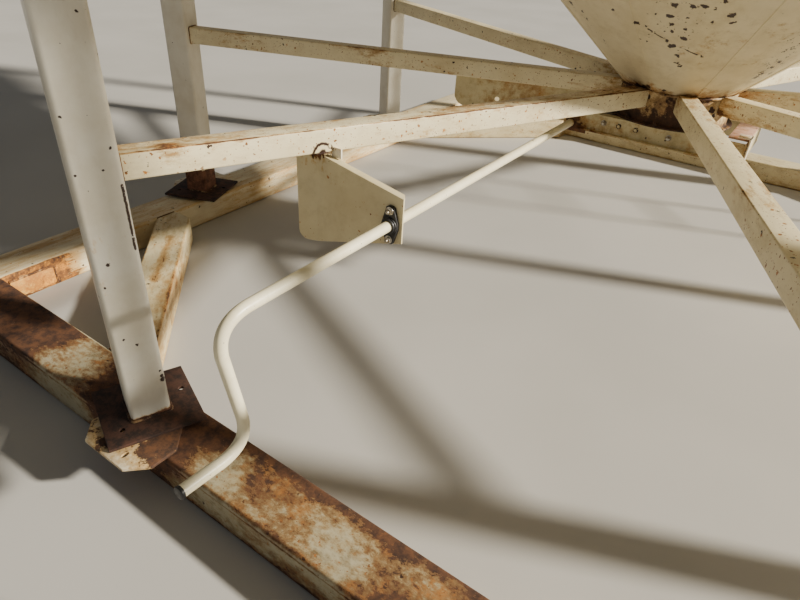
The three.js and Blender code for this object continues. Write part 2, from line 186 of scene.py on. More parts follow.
def round_edges(obj, width, steps=2, wanted=everything):
    return edit(obj, "EDGE", wanted, lambda: bpy.ops.mesh.bevel(
        offset=width, segments=steps, affect="EDGES", clamp_overlap=True))


def smooth(obj, degrees=35):
    pick(obj)
    bpy.ops.object.shade_smooth_by_angle(angle=math.radians(degrees))
    return obj


def bisect(point, outward, **choices):
    """A step that cuts along a plane."""
    return lambda: bpy.ops.mesh.bisect(plane_co=point, plane_no=outward, **choices)


def cut(obj, point, outward):
    """Cuts away what lies beyond a plane, and closes the cut."""
    return edit(obj, "FACE", everything,
                bisect(point, outward, use_fill=True, clear_outer=True))


def pull(step):
    """A step that extrudes the selected faces."""
    return lambda: bpy.ops.mesh.extrude_region_move(TRANSFORM_OT_translate={"value": step})


def runs_along(axis):
    """Picks edges that run along the axis 0, 1 or 2."""
    return lambda middle, direction: abs(direction[axis]) > 0.99


X, Z = 0, 2
print("edges can be rounded along axis", X, "or", Z)

# %% [markdown]
# The beam is made in its front place. A narrow groove along its outer face, just below the top
# edge, is where the two halves of the box meet: two cuts, with the strip between them pushed in. A
# painted line would do from afar, but a groove catches the light. Both ends are cut to a mitre.

# %% One beam
BEAM_OUT, BEAM_IN, BEAM_H = 2.318, 2.106, 0.140
BEAM_MIDDLE = (0, -(BEAM_OUT + BEAM_IN) / 2, BEAM_H / 2)
GROOVE, GROOVE_DEPTH = (0.1180, 0.1196), 0.0016
beam = block("beam_model", (2 * BEAM_OUT, BEAM_OUT - BEAM_IN, BEAM_H), BEAM_MIDDLE)
round_edges(beam, 0.013, 5, runs_along(X))
for z in GROOVE:
    edit(beam, "FACE", everything, bisect((0, 0, z), (0, 0, 1)))
edit(beam, "FACE", lambda m, n: n.y < -0.9 and GROOVE[0] < m.z < GROOVE[1],
     pull((0, GROOVE_DEPTH, 0)))
for x in (1, -1):
    cut(beam, (0, 0, 0), (x, 1, 0))
smooth(beam)
print("beam model:", len(beam.data.polygons), "faces")

# %% [markdown]
# A pattern should follow the member it is on, so a bar carries its own coordinates: how far along
# it a point is, how far across and how far up. A UV map holds only two numbers; an attribute keeps
# all three, in metres. A shift from bar to bar keeps copies from wearing the same rust.

# %% Four beams, each with its own coordinates
def mark_run(obj, shift, middle=(0, 0, 0), axes=((1, 0, 0), (0, 1, 0), (0, 0, 1))):
    """Writes the attribute run: metres along, across and up from the bar's middle."""
    layer = obj.data.attributes.new("run", "FLOAT_VECTOR", "POINT")
    values = []
    for vertex in obj.data.vertices:
        along, across, up = [(vertex.co - Vector(middle)).dot(Vector(axis)) for axis in axes]
        values += [along + shift, across, up]
    layer.data.foreach_set("vector", values)


SIDES = ("front", "right", "rear", "left")
BASE_SHIFT = 7.0
beams = spread(beam, "skid_beam", SIDES, node="base_beam",
               mark=lambda obj, i: mark_run(obj, BASE_SHIFT * i, BEAM_MIDDLE))

# %% [markdown]
# ## Weld beads
# A weld is a thin line of metal laid by hand, so it is never quite even. A curve with a round bevel
# follows any path. It is turned into a mesh, its end caps are merged on, and its points are moved a
# little at random, with a fixed seed. The four mitres of the beams get one each.

# %% Beads
def merge_points():
    bpy.ops.mesh.select_all(action="SELECT")
    bpy.ops.mesh.remove_doubles(threshold=1e-5)


def round_line(radius, detail, kind):
    """A curve object with a round bevel, and its one strand."""
    bpy.ops.object.select_all(action="DESELECT")
    bpy.ops.curve.primitive_nurbs_path_add()
    obj = bpy.context.object
    obj.data.splines.clear()
    obj.data.bevel_depth, obj.data.bevel_resolution = radius, detail
    obj.data.use_fill_caps = True
    return obj, obj.data.splines.new(kind)


def as_mesh(obj, *steps):
    pick(obj)
    bpy.ops.object.convert(target="MESH")
    return edit(bpy.context.object, "EDGE", everything, merge_points, *steps)


def bead(name, points, radius, closed=False, rough=0.25, seed=1):
    obj, strand = round_line(radius, 2, "POLY")
    strand.points.add(len(points) - 1)
    for spot, (x, y, z) in zip(strand.points, points):
        spot.co = (x, y, z, 1)
    strand.use_cyclic_u = closed
    obj = as_mesh(obj, lambda: bpy.ops.transform.vertex_random(offset=radius * rough, seed=seed))
    return smooth(settle(obj, name), 60)


def between(a, b, step):
    """Points from a to b, about step apart."""
    a, b = Vector(a), Vector(b)
    count = max(1, round((b - a).length / step))
    return [tuple(a.lerp(b, i / count)) for i in range(count + 1)]


MITRE_GAP = 0.02
near, far = BEAM_IN * math.sqrt(2) + MITRE_GAP, BEAM_OUT * math.sqrt(2) - MITRE_GAP
mitre = bead("mitre_model", between((near, 0, BEAM_H), (far, 0, BEAM_H), 0.012), 0.004, seed=3)
welds = spread(mitre, "mitre_weld", SIDES, -135)
print("mitre welds are", round(far - near, 2), "m long")

# %% [markdown]
# Near each corner a thin plate with rounded corners has been welded over the joint, on the beam's
# inner face. It is a flat block, rounded at its corners and then along its outer rim. Its bead runs
# along the top and down one side.

# %% Patch plates
PATCH, PATCH_MIDDLE = (0.005, 0.200, 0.086), (BEAM_IN - 0.0025, 1.985, 0.062)
patch = block("patch_model", PATCH, PATCH_MIDDLE)
round_edges(patch, 0.012, 4, runs_along(X))
smooth(round_edges(patch, 0.0015, 2, lambda m, d: m.x < BEAM_IN - 0.0049))
corners = [(BEAM_IN - 0.002, y, z) for y, z in (
    (2.085, 0.106), (1.898, 0.106), (1.888, 0.102), (1.884, 0.092), (1.884, 0.020))]
path = [spot for a, b in zip(corners, corners[1:]) for spot in between(a, b, 0.008)[:-1]]
patch_bead = bead("patch_bead_model", path + corners[-1:], 0.0060, rough=0.30)
welds += spread(patch_bead, "patch_weld", SIDES, -90)
patches = spread(patch, "patch_plate", SIDES, -90)

# %% [markdown]
# ## Corner members
# A member runs across each corner at 45 degrees. It could be a turned block with trimmed ends, but
# an outline that is drawn point by point and extruded has the trimmed ends at once. The same two
# steps make every flat plate on the silo.

# %% Outlines and plates
def face_outwards():
    bpy.ops.mesh.select_all(action="SELECT")
    bpy.ops.mesh.normals_make_consistent(inside=False)


def traced(name, points, filled=True):
    """Draws an outline: one point is extruded from place to place, then closed."""
    bpy.ops.object.select_all(action="DESELECT")
    bpy.ops.mesh.primitive_plane_add(size=0.01, location=points[0])
    obj = settle(bpy.context.object, name)
    bpy.ops.object.mode_set(mode="EDIT")
    bpy.context.tool_settings.mesh_select_mode = (True, False, False)
    bpy.ops.mesh.select_all(action="SELECT")
    bpy.ops.mesh.merge(type="CENTER")
    for a, b in zip(points, points[1:]):
        step = tuple(Vector(b) - Vector(a))
        bpy.ops.mesh.extrude_vertices_move(TRANSFORM_OT_translate={"value": step})
    bpy.ops.mesh.select_all(action="SELECT")
    bpy.ops.mesh.edge_face_add()
    if not filled:
        bpy.ops.mesh.delete(type="ONLY_FACE")
    bpy.ops.object.mode_set(mode="OBJECT")
    return obj


def plate(name, points, rise):
    """A plate: an outline extruded by the vector rise."""
    return edit(traced(name, points), "FACE", everything, pull(rise), face_outwards)


def level(outline, z):
    return [(x, y, z) for x, y in outline]


print("an outline at z = 1:", level([(0, 0), (1, 0), (0, 1)], 1))

# %% [markdown]
# The outline has six points: two on each beam's inner face, and one at each end where the bar was
# trimmed. It is drawn at the front left corner, its four long edges are rounded, and a short bead
# lies on the base beside each end.

# %% Corner bars
CORNER_FAR, CORNER_IN, CORNER_OUT, INNER = 1.198, 3.181, 3.421, BEAM_IN - 0.0003
corner_outline = [
    (-INNER, -CORNER_FAR), (-INNER, INNER - CORNER_OUT), (INNER - CORNER_OUT, -INNER),
    (-CORNER_FAR, -INNER), (-CORNER_FAR, CORNER_FAR - CORNER_IN),
    (CORNER_FAR - CORNER_IN, -CORNER_FAR)]
DIAGONAL = Vector((1, -1, 0)).normalized()
bar = plate("corner_model", level(corner_outline, 0), (0, 0, BEAM_H))
smooth(round_edges(bar, 0.010, 4, lambda m, d: abs(d.dot(DIAGONAL)) > 0.99))
CORNERS = ("front_left", "front_right", "rear_right", "rear_left")
middle = (-(CORNER_IN + CORNER_OUT) / 4,) * 2 + (BEAM_H / 2,)
axes = (DIAGONAL, (DIAGONAL.y, -DIAGONAL.x, 0), (0, 0, 1))
corner_bars = spread(bar, "corner_bar", CORNERS, node="corner_member",
                     mark=lambda obj, i: mark_run(obj, BASE_SHIFT * i, middle, axes))
for seed, letter, a, b in ((1, "a", (-INNER, -1.205, BEAM_H), (-INNER, -1.31, BEAM_H)),
                           (2, "b", (-1.31, -INNER, BEAM_H), (-1.205, -INNER, BEAM_H))):
    end = bead("end_model", between(a, b, 0.01), 0.004, seed=seed)
    welds += spread(end, "corner_weld", [f"{corner}_{letter}" for corner in CORNERS])

# %% [markdown]
# ## Building a finish
# Old paint on steel is a stack of coats: paint, chips that show dark steel, rust that creeps out of
# them and stains what is round it, and dirt over all. Each coat goes where a mask is 1. The nodes
# of a mask could be wired one by one. Here a node's output is wrapped, so that masks are added and
# multiplied in lines that read like sums; a bar between two masks takes the greater one.

# %% Masks
class Mask:
    """The output of a node, to reckon with as with a number."""

    def __init__(self, finish, socket):
        self.finish, self.socket = finish, socket

    def other(self, name):
        return Mask(self.finish, self.socket.node.outputs[name])

    def sum(self, how, a, b=0.0):
        return self.finish.add("ShaderNodeMath", {0: a, 1: b}, operation=how)

    def __add__(self, b):
        return self.sum("ADD", self, b)

    def __sub__(self, b):
        return self.sum("SUBTRACT", self, b)

    def __rsub__(self, a):
        return self.sum("SUBTRACT", a, self)

    def __mul__(self, b):
        return self.sum("MULTIPLY", self, b)

    def __or__(self, b):
        return self.sum("MAXIMUM", self, b)

    def __abs__(self):
        return self.sum("ABSOLUTE", self)

    __radd__, __rmul__ = __add__, __mul__

    def fade(self, start, end, low=0.0, high=1.0):
        """Goes smoothly from low at start to high at end."""
        if start > end:
            start, end, low, high = end, start, high, low
        return self.finish.add(
            "ShaderNodeMapRange", {0: self, 1: start, 2: end, 3: low, 4: high},
            interpolation_type="SMOOTHSTEP")


def most(*masks):
    """The greatest of several masks."""
    total = masks[0]
    for mask in masks[1:]:
        total = total | mask
    return total


def methods(kind):
    return [name for name in vars(kind) if not name.startswith("_")]


print("a mask can:", methods(Mask))

# %% [markdown]
# A finish is a material whose nodes are added one after another. Places are read from the silo's
# own frame or, on a bar, from the bar's own run.

# %% Wiring
class Wiring:
    """A node material with an easy way to add and join nodes."""

    def __init__(self, name, bar=False):
        self.material = bpy.data.materials.new(name)
        self.material.use_nodes = True
        self.tree = self.material.node_tree
        self.world = self.spot = self.add("ShaderNodeTexCoord", out="Object")
        if bar:
            self.spot = self.add("ShaderNodeAttribute", out="Vector", attribute_name="run")

    def join(self, value, socket):
        if isinstance(value, Mask):
            self.tree.links.new(value.socket, socket)
        else:
            socket.default_value = value

    def add(self, kind, values=None, out=0, **settings):
        node = self.tree.nodes.new(kind)
        for key, value in settings.items():
            setattr(node, key, value)
        for socket, value in (values or {}).items():
            self.join(value, node.inputs[socket])
        return Mask(self, node.outputs[out])

    def vector(self, how, a, b=(0, 0, 0), out=0):
        values = {0: a, "Scale" if how == "SCALE" else 1: b}
        return self.add("ShaderNodeVectorMath", values, out, operation=how)

    def axes(self, spot=None):
        """The x, y and z of a place as three masks."""
        x = self.add("ShaderNodeSeparateXYZ", {0: spot or self.spot}, "X")
        return [x.other(name) for name in "XYZ"]


print("wiring can:", methods(Wiring))

# %% [markdown]
# Wear has no straight edges, so most masks start from noise. `stretched` draws a pattern out along
# one axis, `ragged` moves the places that a mask is looked up at, which frays its outline, and
# `specks` puts an irregular spot in some of the cells of a Voronoi pattern.

# %% Patterns
class Patterns(Wiring):
    """Masks from noise."""

    def stretched(self, scale):
        return self.vector("MULTIPLY", self.spot, scale)

    def noise(self, scale, detail, rough, spot=None):
        return self.add("ShaderNodeTexNoise", {
            "Vector": spot or self.spot, "Scale": scale, "Detail": detail, "Roughness": rough})

    def ragged(self, scale, reach, spot=None):
        """Places moved a little by noise."""
        base = spot or self.world
        jitter = self.add("ShaderNodeTexNoise",
                          {"Vector": base, "Scale": scale, "Detail": 3.0}, out=1)
        middle = self.vector("SUBTRACT", jitter, (0.5,) * 3)
        return self.vector("ADD", base, self.vector("SCALE", middle, reach))

    def specks(self, scale, size, share, wobble=0.8):
        """Irregular spots up to size of a cell wide. share is how many cells have one."""
        places = self.ragged(scale * 2.5, wobble / scale, self.spot)
        far = self.add("ShaderNodeTexVoronoi", {"Vector": places, "Scale": scale}, "Distance")
        lot = self.axes(far.other("Color"))[X]
        return (far - lot.fade(1.0 - share, 1.0, 0.0, size)).fade(0.03, 0.0)


print("patterns:", methods(Patterns))

# %% [markdown]
# The real silo is worn at certain places: near a weld, along a scratch, round a chip. They could be
# painted into a picture, but a mask that fades with the distance from a point or a line needs none.
# The last methods mix colours and join all to the shader.

# %% Places and colours
class Finish(Patterns):
    """A material that is built up coat by coat."""

    def near(self, point, radius, core, spot=None):
        """1 within core of a point in the silo's frame, 0 beyond radius."""
        return self.vector("DISTANCE", spot or self.world, point, "Value").fade(radius, core)

    def chips_at(self, spots, scale=130.0, reach=0.010):
        """Ragged chips at (x, y, z, radius) in millimetres."""
        moved = self.ragged(scale, reach)
        spots = [[v / 1000 for v in spot] for spot in spots]
        return most(*[self.near((x, y, z), 1.08 * r, 0.80 * r, moved) for x, y, z, r in spots])

    def line(self, a, b, radius, core=0.0, spot=None):
        """1 close to the line from a to b in the silo's frame, 0 beyond radius."""
        run = Vector(b) - Vector(a)
        off = self.vector("SUBTRACT", spot or self.world, a)
        share = self.vector("DOT_PRODUCT", off, tuple(run / run.length_squared), "Value")
        share = self.add("ShaderNodeClamp", {0: share})
        back = self.vector("SCALE", tuple(run), share)
        return self.vector("DISTANCE", off, back, "Value").fade(radius, core)

    def mix(self, share, a, b, how="MIX"):
        return self.add("ShaderNodeMix", {0: share, 6: a, 7: b}, 2, data_type="RGBA",
                        blend_type=how)

    def dim(self, colour, share, tint):
        """Multiplies a colour by a tint, by a share."""
        return self.mix(share, colour, tint, "MULTIPLY")

    def done(self, colour, rough, height=None, depth=0.001, strength=0.5, metal=0.0):
        shader = self.tree.nodes["Principled BSDF"].inputs
        for key, value in (("Base Color", colour), ("Roughness", rough), ("Metallic", metal)):
            self.join(value, shader[key])
        if height is not None:
            bump = {"Strength": strength, "Distance": depth, "Height": height}
            self.join(self.add("ShaderNodeBump", bump), shader["Normal"])
        return self.material


print("places and colours:", methods(Finish))

# %% [markdown]
# ### Paint that has rusted
# Colours are easier to judge as the eye reads them, from 0 to 255, so `tone` turns such numbers
# into light values. Rust is mottled, from nearly black through brown to orange: three tones are
# mixed by noise at three sizes. `wear` gives pieces their finish and the body they move with.

# %% Colours and rust
def tone(r, g, b):
    """A colour as the eye reads it, 0 to 255, turned into light values."""
    def light(v):
        v /= 255
        return v / 12.92 if v <= 0.04045 else ((v + 0.055) / 1.055) ** 2.4
    return (light(r), light(g), light(b), 1.0)


def wear(finish, slot, *objects, body="silo"):
    """Gives pieces their finish and the body that they ride on. slot is not used."""
    for obj in objects:
        obj.data.materials.clear()
        obj.data.materials.append(finish)
        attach(obj, body)
    print(f"{finish.name} is on {len(objects)} of the {body}'s pieces")


def rust_colour(f, orange, tones):
    blend = f.noise(9, 5, 0.65) * 0.6 + f.noise(70, 4, 0.7) * 0.4
    patch = blend.fade(0.60 - 0.25 * orange, 0.76 - 0.20 * orange)
    dark = f.mix(f.noise(26, 5, 0.75).fade(0.34, 0.66), tones[0], tones[1])
    return f.mix(patch, dark, tones[2])


RUST = (tone(58, 37, 24), tone(110, 70, 36), tone(178, 116, 46))
print("rust goes from", [round(v, 3) for v in RUST[0]], "to", [round(v, 3) for v in RUST[2]])

# %% [markdown]
# Beside bare rust lie two things: a thin brown veil of rust dust, and small points where rust comes
# through. As part of the rust's own mask they would be as thick and rough as rust, so they are
# mixed into the colour only.

# %% Veil and points
VEIL_MOST = 0.9


def veiled(f, coat, pushed, edge, film, tones):
    crumbs = pushed + f.noise(120, 4, 0.8) * 0.16 + f.noise(7, 4, 0.6) * 0.10
    veil = crumbs.fade(edge + 0.01, edge + 0.16, 0.0, VEIL_MOST * film)
    return f.mix(veil, coat, f.mix(f.noise(11, 6, 0.75).fade(0.48, 0.68), tones[1], tones[2]))


def speckled(f, coat, flow, fine, halo, speckle, tones):
    points = f.specks(46, 0.20, 0.6 * speckle) | f.specks(120, 0.24, 0.5 * speckle)
    where = f.noise(3.1, 3, 0.5, flow) + halo * 0.25
    where = where.fade(0.50 - 0.12 * speckle, 0.60 - 0.08 * speckle)
    return f.mix(points * where, coat, f.mix(fine.fade(0.4, 0.6), tones[1], tones[2]))


print("a veil covers", VEIL_MOST, "of the paint at most")

# %% [markdown]
# One function lays the coats that all the painted steel here shares. `rust` is how far bare rust
# has spread, `stain` how wide the yellow halo round it is, `film` how brown the veil is and
# `speckle` how many points come through. `extra` is a function that adds rust where the real piece
# has more, and on the front beam and the hub also paints light and shade into the colour; `marks`
# is one that adds chips. The paint's thickness and the rust's grain go into the bump.

# %% Rusted paint
FADED, STAINED, DIRTY = tone(226, 218, 202), tone(228, 190, 122), tone(176, 160, 134)
CHIP = tone(48, 27, 18)


def rusted_paint(name, paint, rust=0.2, stain=0.5, film=0.0, speckle=0.0, chips=0.5, gloss=0.45,
                 grime=0.4, orange=0.3, bar=False, grain=(1, 1, 1), extra=None, chip_scale=28.0,
                 tones=RUST, marks=None):
    f = Finish(name, bar)
    flow = f.stretched(grain)
    fine = f.noise(34, 6, 0.72, flow)
    pushed = f.noise(2.6, 6, 0.62, flow) * 0.62 + fine * 0.38
    if extra:
        pushed = pushed + extra(f)
    edge = 0.66 - 0.22 * rust
    bare = pushed.fade(edge, edge + 0.03)
    halo = pushed.fade(edge - 0.05 - 0.12 * stain, edge + 0.01)
    dust = f.noise(14, 7, 0.75, flow).fade(0.45, 0.72)
    coat = f.dim(paint, f.noise(5.5, 5, 0.6).fade(0.38, 0.7) * 0.5, FADED)
    coat = f.dim(f.dim(coat, halo * 0.8, STAINED), dust * grime, DIRTY)
    if film:
        coat = veiled(f, coat, pushed, edge, film, tones)
    if speckle:
        coat = speckled(f, coat, flow, fine, halo, speckle, tones)
    chip = f.specks(chip_scale, 0.16, 0.25 * chips) | f.specks(chip_scale * 3.1, 0.14, 0.12 * chips)
    if marks:
        chip = chip | marks(f)
    colour = f.mix(chip, f.mix(bare, coat, rust_colour(f, orange, tones)), CHIP)
    rough = (bare | dust * 0.5) * (0.85 - gloss) + gloss
    grit = f.noise(160, 3, 0.6) * (bare * 0.5 + 0.05)
    return f.done(colour, rough, (1.0 - (bare | chip)) * 0.6 + grit, 0.0012, 0.45)


print("dirt dims paint by", tuple(round(v, 2) for v in DIRTY[:3]))

# %% [markdown]
# ### The finishes of the base
# The front beam is the worst: dark rust at its left end and under the leg's plate, grey-cream
# patches between, a brown veil over the rest, and more rust along edges, seam and foot. Along the
# inner edge of the top the orange rust is partly painted sunlight, and a pale line of paint kept
# there left of the leg is a painted highlight. The places are measured. Each has a weight, and a
# weight below zero keeps the paint.

# %% Front beam finish
NEAR_LEG = (-0.92, -2.22, 0.14)
PALE = ((-1.33, -2.23, 0.14, 0.26, 0.06), (-0.54, -2.26, 0.14, 0.15, 0.02),
        (-0.06, -2.28, 0.14, 0.17, 0.03), (-1.30, -2.318, 0.07, 0.30, 0.05))
BASE_RUST = (tone(56, 36, 25), tone(102, 66, 40), tone(162, 104, 48))


def front_beam_wear_and_light(f):
    across, up = f.axes()[1:]
    top = up.fade(0.058, 0.069)
    # inner: rust along the top's inner edge, which is partly painted sunlight on that strip
    inner = top * across.fade(0.050, 0.085)
    outer = top * across.fade(-0.088, -0.102)
    foot = up.fade(-0.030, -0.070)
    corner = f.near((-1.95, -2.22, 0.10), 0.62, 0.30)
    under_plate = f.near(NEAR_LEG, 0.34, 0.16)
    pale = most(*[f.near((x, y, z), radius, core) for x, y, z, radius, core in PALE])
    seam = abs(up - 0.049).fade(0.009, 0.001)
    # rim: pale paint kept along the inner edge left of the leg, a painted highlight of the lit lip
    rim = across.fade(0.094, 0.101) * f.near((-1.55, -2.11, 0.14), 0.62, 0.45)
    return (0.08 * top + 0.05 * inner + 0.04 * outer + 0.15 * foot + 0.11 * corner
            + 0.10 * under_plate + 0.09 * seam - 0.12 * pale - 0.17 * rim)


wear(rusted_paint(
    "beam_paint_front", tone(180, 171, 142), rust=0.46, stain=1.0, film=1.0, speckle=1.0,
    chips=0.6, gloss=0.52, grime=1.0, orange=0.10, bar=True, grain=(1.2, 1.8, 1.8),
    extra=front_beam_wear_and_light, tones=BASE_RUST), "rusted_frame", beams[0])

# %% [markdown]
# The left beam keeps a pale top with scuffs that run along it, and has rusted on its inner face by
# the corner, most of all round the patch plate. The other two are cream with rust spots. The rear
# beam does not show, so it shares the right one's finish.

# %% The other beams
def left_beam_wear(f):
    across, up = f.axes()[1:]
    inner = across.fade(0.096, 0.105)
    edge = up.fade(0.050, 0.066) * across.fade(0.090, 0.104)
    corner = inner * f.near((-2.10, -1.96, 0.06), 0.26, 0.15)
    weld = f.near((-2.105, -1.88, 0.07), 0.085, 0.03)
    return 0.18 * corner + 0.07 * edge + 0.06 * weld + 0.06 * up.fade(-0.030, -0.070)


def back_beam_wear(f):
    across, up = f.axes()[1:]
    return 0.09 * up.fade(-0.050, -0.070) + 0.02 * abs(across).fade(0.09, 0.105)


wear(rusted_paint(
    "beam_paint_left", tone(226, 212, 176), rust=0.15, stain=0.9, film=0.3, speckle=1.0,
    chips=0.8, gloss=0.55, orange=0.60, bar=True, grain=(0.22, 1.1, 1.1),
    extra=left_beam_wear, tones=(BASE_RUST[0], tone(130, 82, 38), tone(208, 138, 50))),
     "rusted_frame", beams[3])
wear(rusted_paint(
    "beam_paint_back", tone(222, 208, 168), rust=0.24, stain=0.8, film=0.5, speckle=1.0,
    chips=0.8, gloss=0.5, grime=0.6, bar=True, grain=(0.4, 1, 1),
    extra=back_beam_wear, tones=BASE_RUST), "rusted_frame", *beams[1:3])

# %% [markdown]
# Welds and patch plates have rusted most, because the heat burnt their primer. The corner bars keep
# more of their cream: rust marks the edges of the top, with one dark stripe where something has
# rubbed, and small points of rust come through all over.

# %% Weld, patch and corner finishes
def corner_wear(f):
    across, up = f.axes()[1:]
    edge = up.fade(0.058, 0.068) * abs(across).fade(0.068, 0.080)
    stripe = f.line((-1.88, -1.40, 0.14), (-1.60, -1.70, 0.14), 0.040)
    return 0.06 * edge + 0.09 * stripe + 0.025 * up.fade(0.060, 0.070)


WELD = rusted_paint("weld_rust", tone(196, 172, 130), rust=0.85, stain=0.8, film=0.8, chips=0.2,
                    gloss=0.6)
wear(rusted_paint(
    "patch_rust", tone(222, 182, 104), rust=0.62, stain=1.0, film=0.9, speckle=0.8, chips=0.3,
    gloss=0.6, orange=0.8, tones=(tone(96, 58, 26), tone(160, 98, 36), tone(214, 148, 58))),
     "rusted_frame", *patches)
wear(rusted_paint(
    "corner_paint", tone(222, 206, 164), rust=0.24, stain=0.9, film=0.5, speckle=1.2, chips=1.0,
    gloss=0.5, grime=0.6, orange=0.35, bar=True, grain=(0.45, 1, 1), extra=corner_wear),
     "cream_frame", *corner_bars)
wear(WELD, "rusted_frame", *welds)

# %% [markdown]
# ## Legs and feet
# A leg is a 125 mm square tube with rounded corners. It stands on a square foot plate that faces
# the hub, and that on an outrigger plate that sticks out past the beam. Holes could be cut with
# bisect, but a drilled hole is a cylinder taken away, which is what a boolean does. A square path
# with round corners guides the weld at the foot of a tube.

# %% Drill and square weld
def rod(radius, depth, middle, turn=(0, 0, 0), sides=28, name=None, stretch=1.0):
    """A cylinder along z, unless it is turned."""
    bpy.ops.object.select_all(action="DESELECT")
    bpy.ops.mesh.primitive_cylinder_add(vertices=sides, radius=radius, depth=depth,
                                        location=middle, rotation=turn, scale=(stretch, 1, 1))
    return settle(bpy.context.object, name)


def drill(obj, spot, radius, turn=(0, 0, 0), stretch=1.0, depth=0.06):
    tool = rod(radius, depth, spot, turn, 24, stretch=stretch)
    pick(obj)
    change = obj.modifiers.new("hole", "BOOLEAN")
    change.object, change.solver = tool, "EXACT"
    bpy.ops.object.modifier_apply(modifier="hole")
    scrap(tool)
    return obj


STITCH = 0.009


def square_points(half, corner, height):
    """A rounded square round the origin."""
    flat, points = half - corner, []
    for quarter in range(4):
        a = math.pi / 2 * quarter
        ux, uy = math.cos(a), math.sin(a)
        for k in range(round(2 * flat / STITCH)):
            t = k * STITCH - flat
            points.append((half * ux - t * uy, half * uy + t * ux, height))
        for k in range(4):
            b = a + math.pi / 2 * k / 4
            cx, cy = flat * (ux - uy), flat * (uy + ux)
            points.append((cx + corner * math.cos(b), cy + corner * math.sin(b), height))
    return points


print("points of a square weld:", len(square_points(0.0655, 0.016, 0)))

# %% [markdown]
# One leg is modelled at angle 0 and copied to its eight places. Its foot plate is a block with two
# drilled holes, and an uneven bead runs round the foot of the tube.

# %% Leg, foot plate and weld
LEG_CIRCLE, LEG, LEG_TOP = 2.400, 0.125, 2.844
PLATE_LOW, PLATE_MID, PLATE_TOP = 0.1403, 0.1523, 0.1643
PLATE_EDGE, FOOT, FOOT_THICK = 0.0016, 0.300, 0.0118
FIRST_SLOT, SLOT_STEP, LEG_SHIFT, BRACE_SHIFT = 22.5, 45, 5.0, 4.0
SLOTS = ("right_rear", "rear_right", "rear_left", "left_rear",
         "left_front", "front_left", "front_right", "right_front")
post = block("post_model", (LEG, LEG, LEG_TOP - PLATE_TOP),
             (LEG_CIRCLE, 0, (LEG_TOP + PLATE_TOP) / 2))
smooth(round_edges(post, 0.014, 6, runs_along(Z)))
foot = block("foot_model", (FOOT, FOOT, FOOT_THICK), (LEG_CIRCLE, 0, (PLATE_MID + PLATE_TOP) / 2))
round_edges(foot, PLATE_EDGE)
for spot in ((2.283, -0.030, PLATE_TOP), (2.497, 0.080, PLATE_TOP)):
    drill(foot, spot, 0.0095)
smooth(foot)
foot_bead = bead("foot_bead_model", square_points(0.0655, 0.016, PLATE_TOP + 0.001), 0.0048,
                 True, 0.35, 4)
settle(foot_bead, spot=(LEG_CIRCLE, 0, 0))
posts = spread(post, "post", SLOTS, FIRST_SLOT, lambda obj, i: mark_run(
    obj, LEG_SHIFT * i, (LEG_CIRCLE, 0, 0), ((0, 0, 1), (0, 1, 0), (1, 0, 0))), "leg")
foot_plates = spread(foot, "foot_plate", SLOTS, FIRST_SLOT)
foot_welds = spread(foot_bead, "foot_weld", SLOTS, FIRST_SLOT)

# %% [markdown]
# An outrigger lies square to its beam, not to the hub, and its outer corners are cut. It is drawn
# as an outline, extruded and drilled. The two legs of a side stand left and right of its middle, so
# half of the plates are mirrored. A negative scale turns a mesh inside out, so its faces are turned
# back.

# %% Outriggers
offset = -LEG_CIRCLE * math.sin(math.radians(FIRST_SLOT))
middle = offset + 0.068
shelf = plate("outrigger_model", level([
    (2.130, offset - 0.0925), (2.367, middle - 0.155), (2.427, middle - 0.095),
    (2.427, middle + 0.095), (2.367, middle + 0.155), (2.278, middle + 0.155),
    (2.130, offset + 0.0925)], PLATE_LOW), (0, 0, PLATE_MID - PLATE_LOW))
round_edges(shelf, PLATE_EDGE)
smooth(drill(shelf, (2.388, middle + 0.054, PLATE_MID), 0.008, stretch=1.7))
other_hand = twin(shelf, "outrigger_model_mirrored")
other_hand.scale = (1, -1, 1)
edit(settle(other_hand), "FACE", everything, face_outwards)
outriggers = []
for i, slot in enumerate(SLOTS):
    angle = FIRST_SLOT + SLOT_STEP * i
    side = round(angle / 90) * 90
    model = shelf if angle < side else other_hand
    outriggers.append(turned(twin(model, f"outrigger_{slot}"), side))
scrap(shelf, other_hand)
print("outriggers:", len(outriggers))

# %% [markdown]
# ### The finishes of legs and feet
# The tubes are a white that is cooler and glossier than the rest. The leg by the crank has small
# dark chips, a larger brown one near its foot, and a long scratch down its edge. The foot of the
# left leg has rusted right round, like a boot. Such marks could fall at random, but these are seen,
# so they are placed.

# %% Leg finish
LEG_CHIPS = (
    (-880, -2287, 1145, 4.2), (-848, -2210, 1369, 3.5), (-844, -2201, 1057, 4),
    (-854, -2226, 1004, 3.8), (-879, -2286, 999, 4), (-870, -2263, 738, 5.5),
    (-878, -2282, 670, 3.5), (-872, -2268, 485, 4.8), (-860, -2239, 455, 5.2),
    (-841, -2190, 299, 10), (-841, -2191, 314, 7), (-842, -2194, 335, 4.2), (-950, -2285, 520, 4.5),
    (-935, -2290, 395, 5), (-975, -2270, 640, 4), (-900, -2297, 300, 4.5))


def leg_wear(f):
    z = f.axes(f.world)[2]
    boot = f.near((-2.217, -0.918, 0.17), 0.16, 0.13)
    return (0.14 * z.fade(0.182, 0.168) + 0.09 * z.fade(0.215, 0.170) + 0.30 * boot
            + 0.03 * z.fade(2.60, 2.84))


def leg_marks(f):
    gaps = f.noise(90, 3, 0.7).fade(0.32, 0.40)
    scratch = f.line((-0.8385, -2.191, 0.955), (-0.8385, -2.191, 0.770), 0.0062, 0.0042,
                     f.ragged(60, 0.005))
    return f.chips_at(LEG_CHIPS) | scratch * gaps


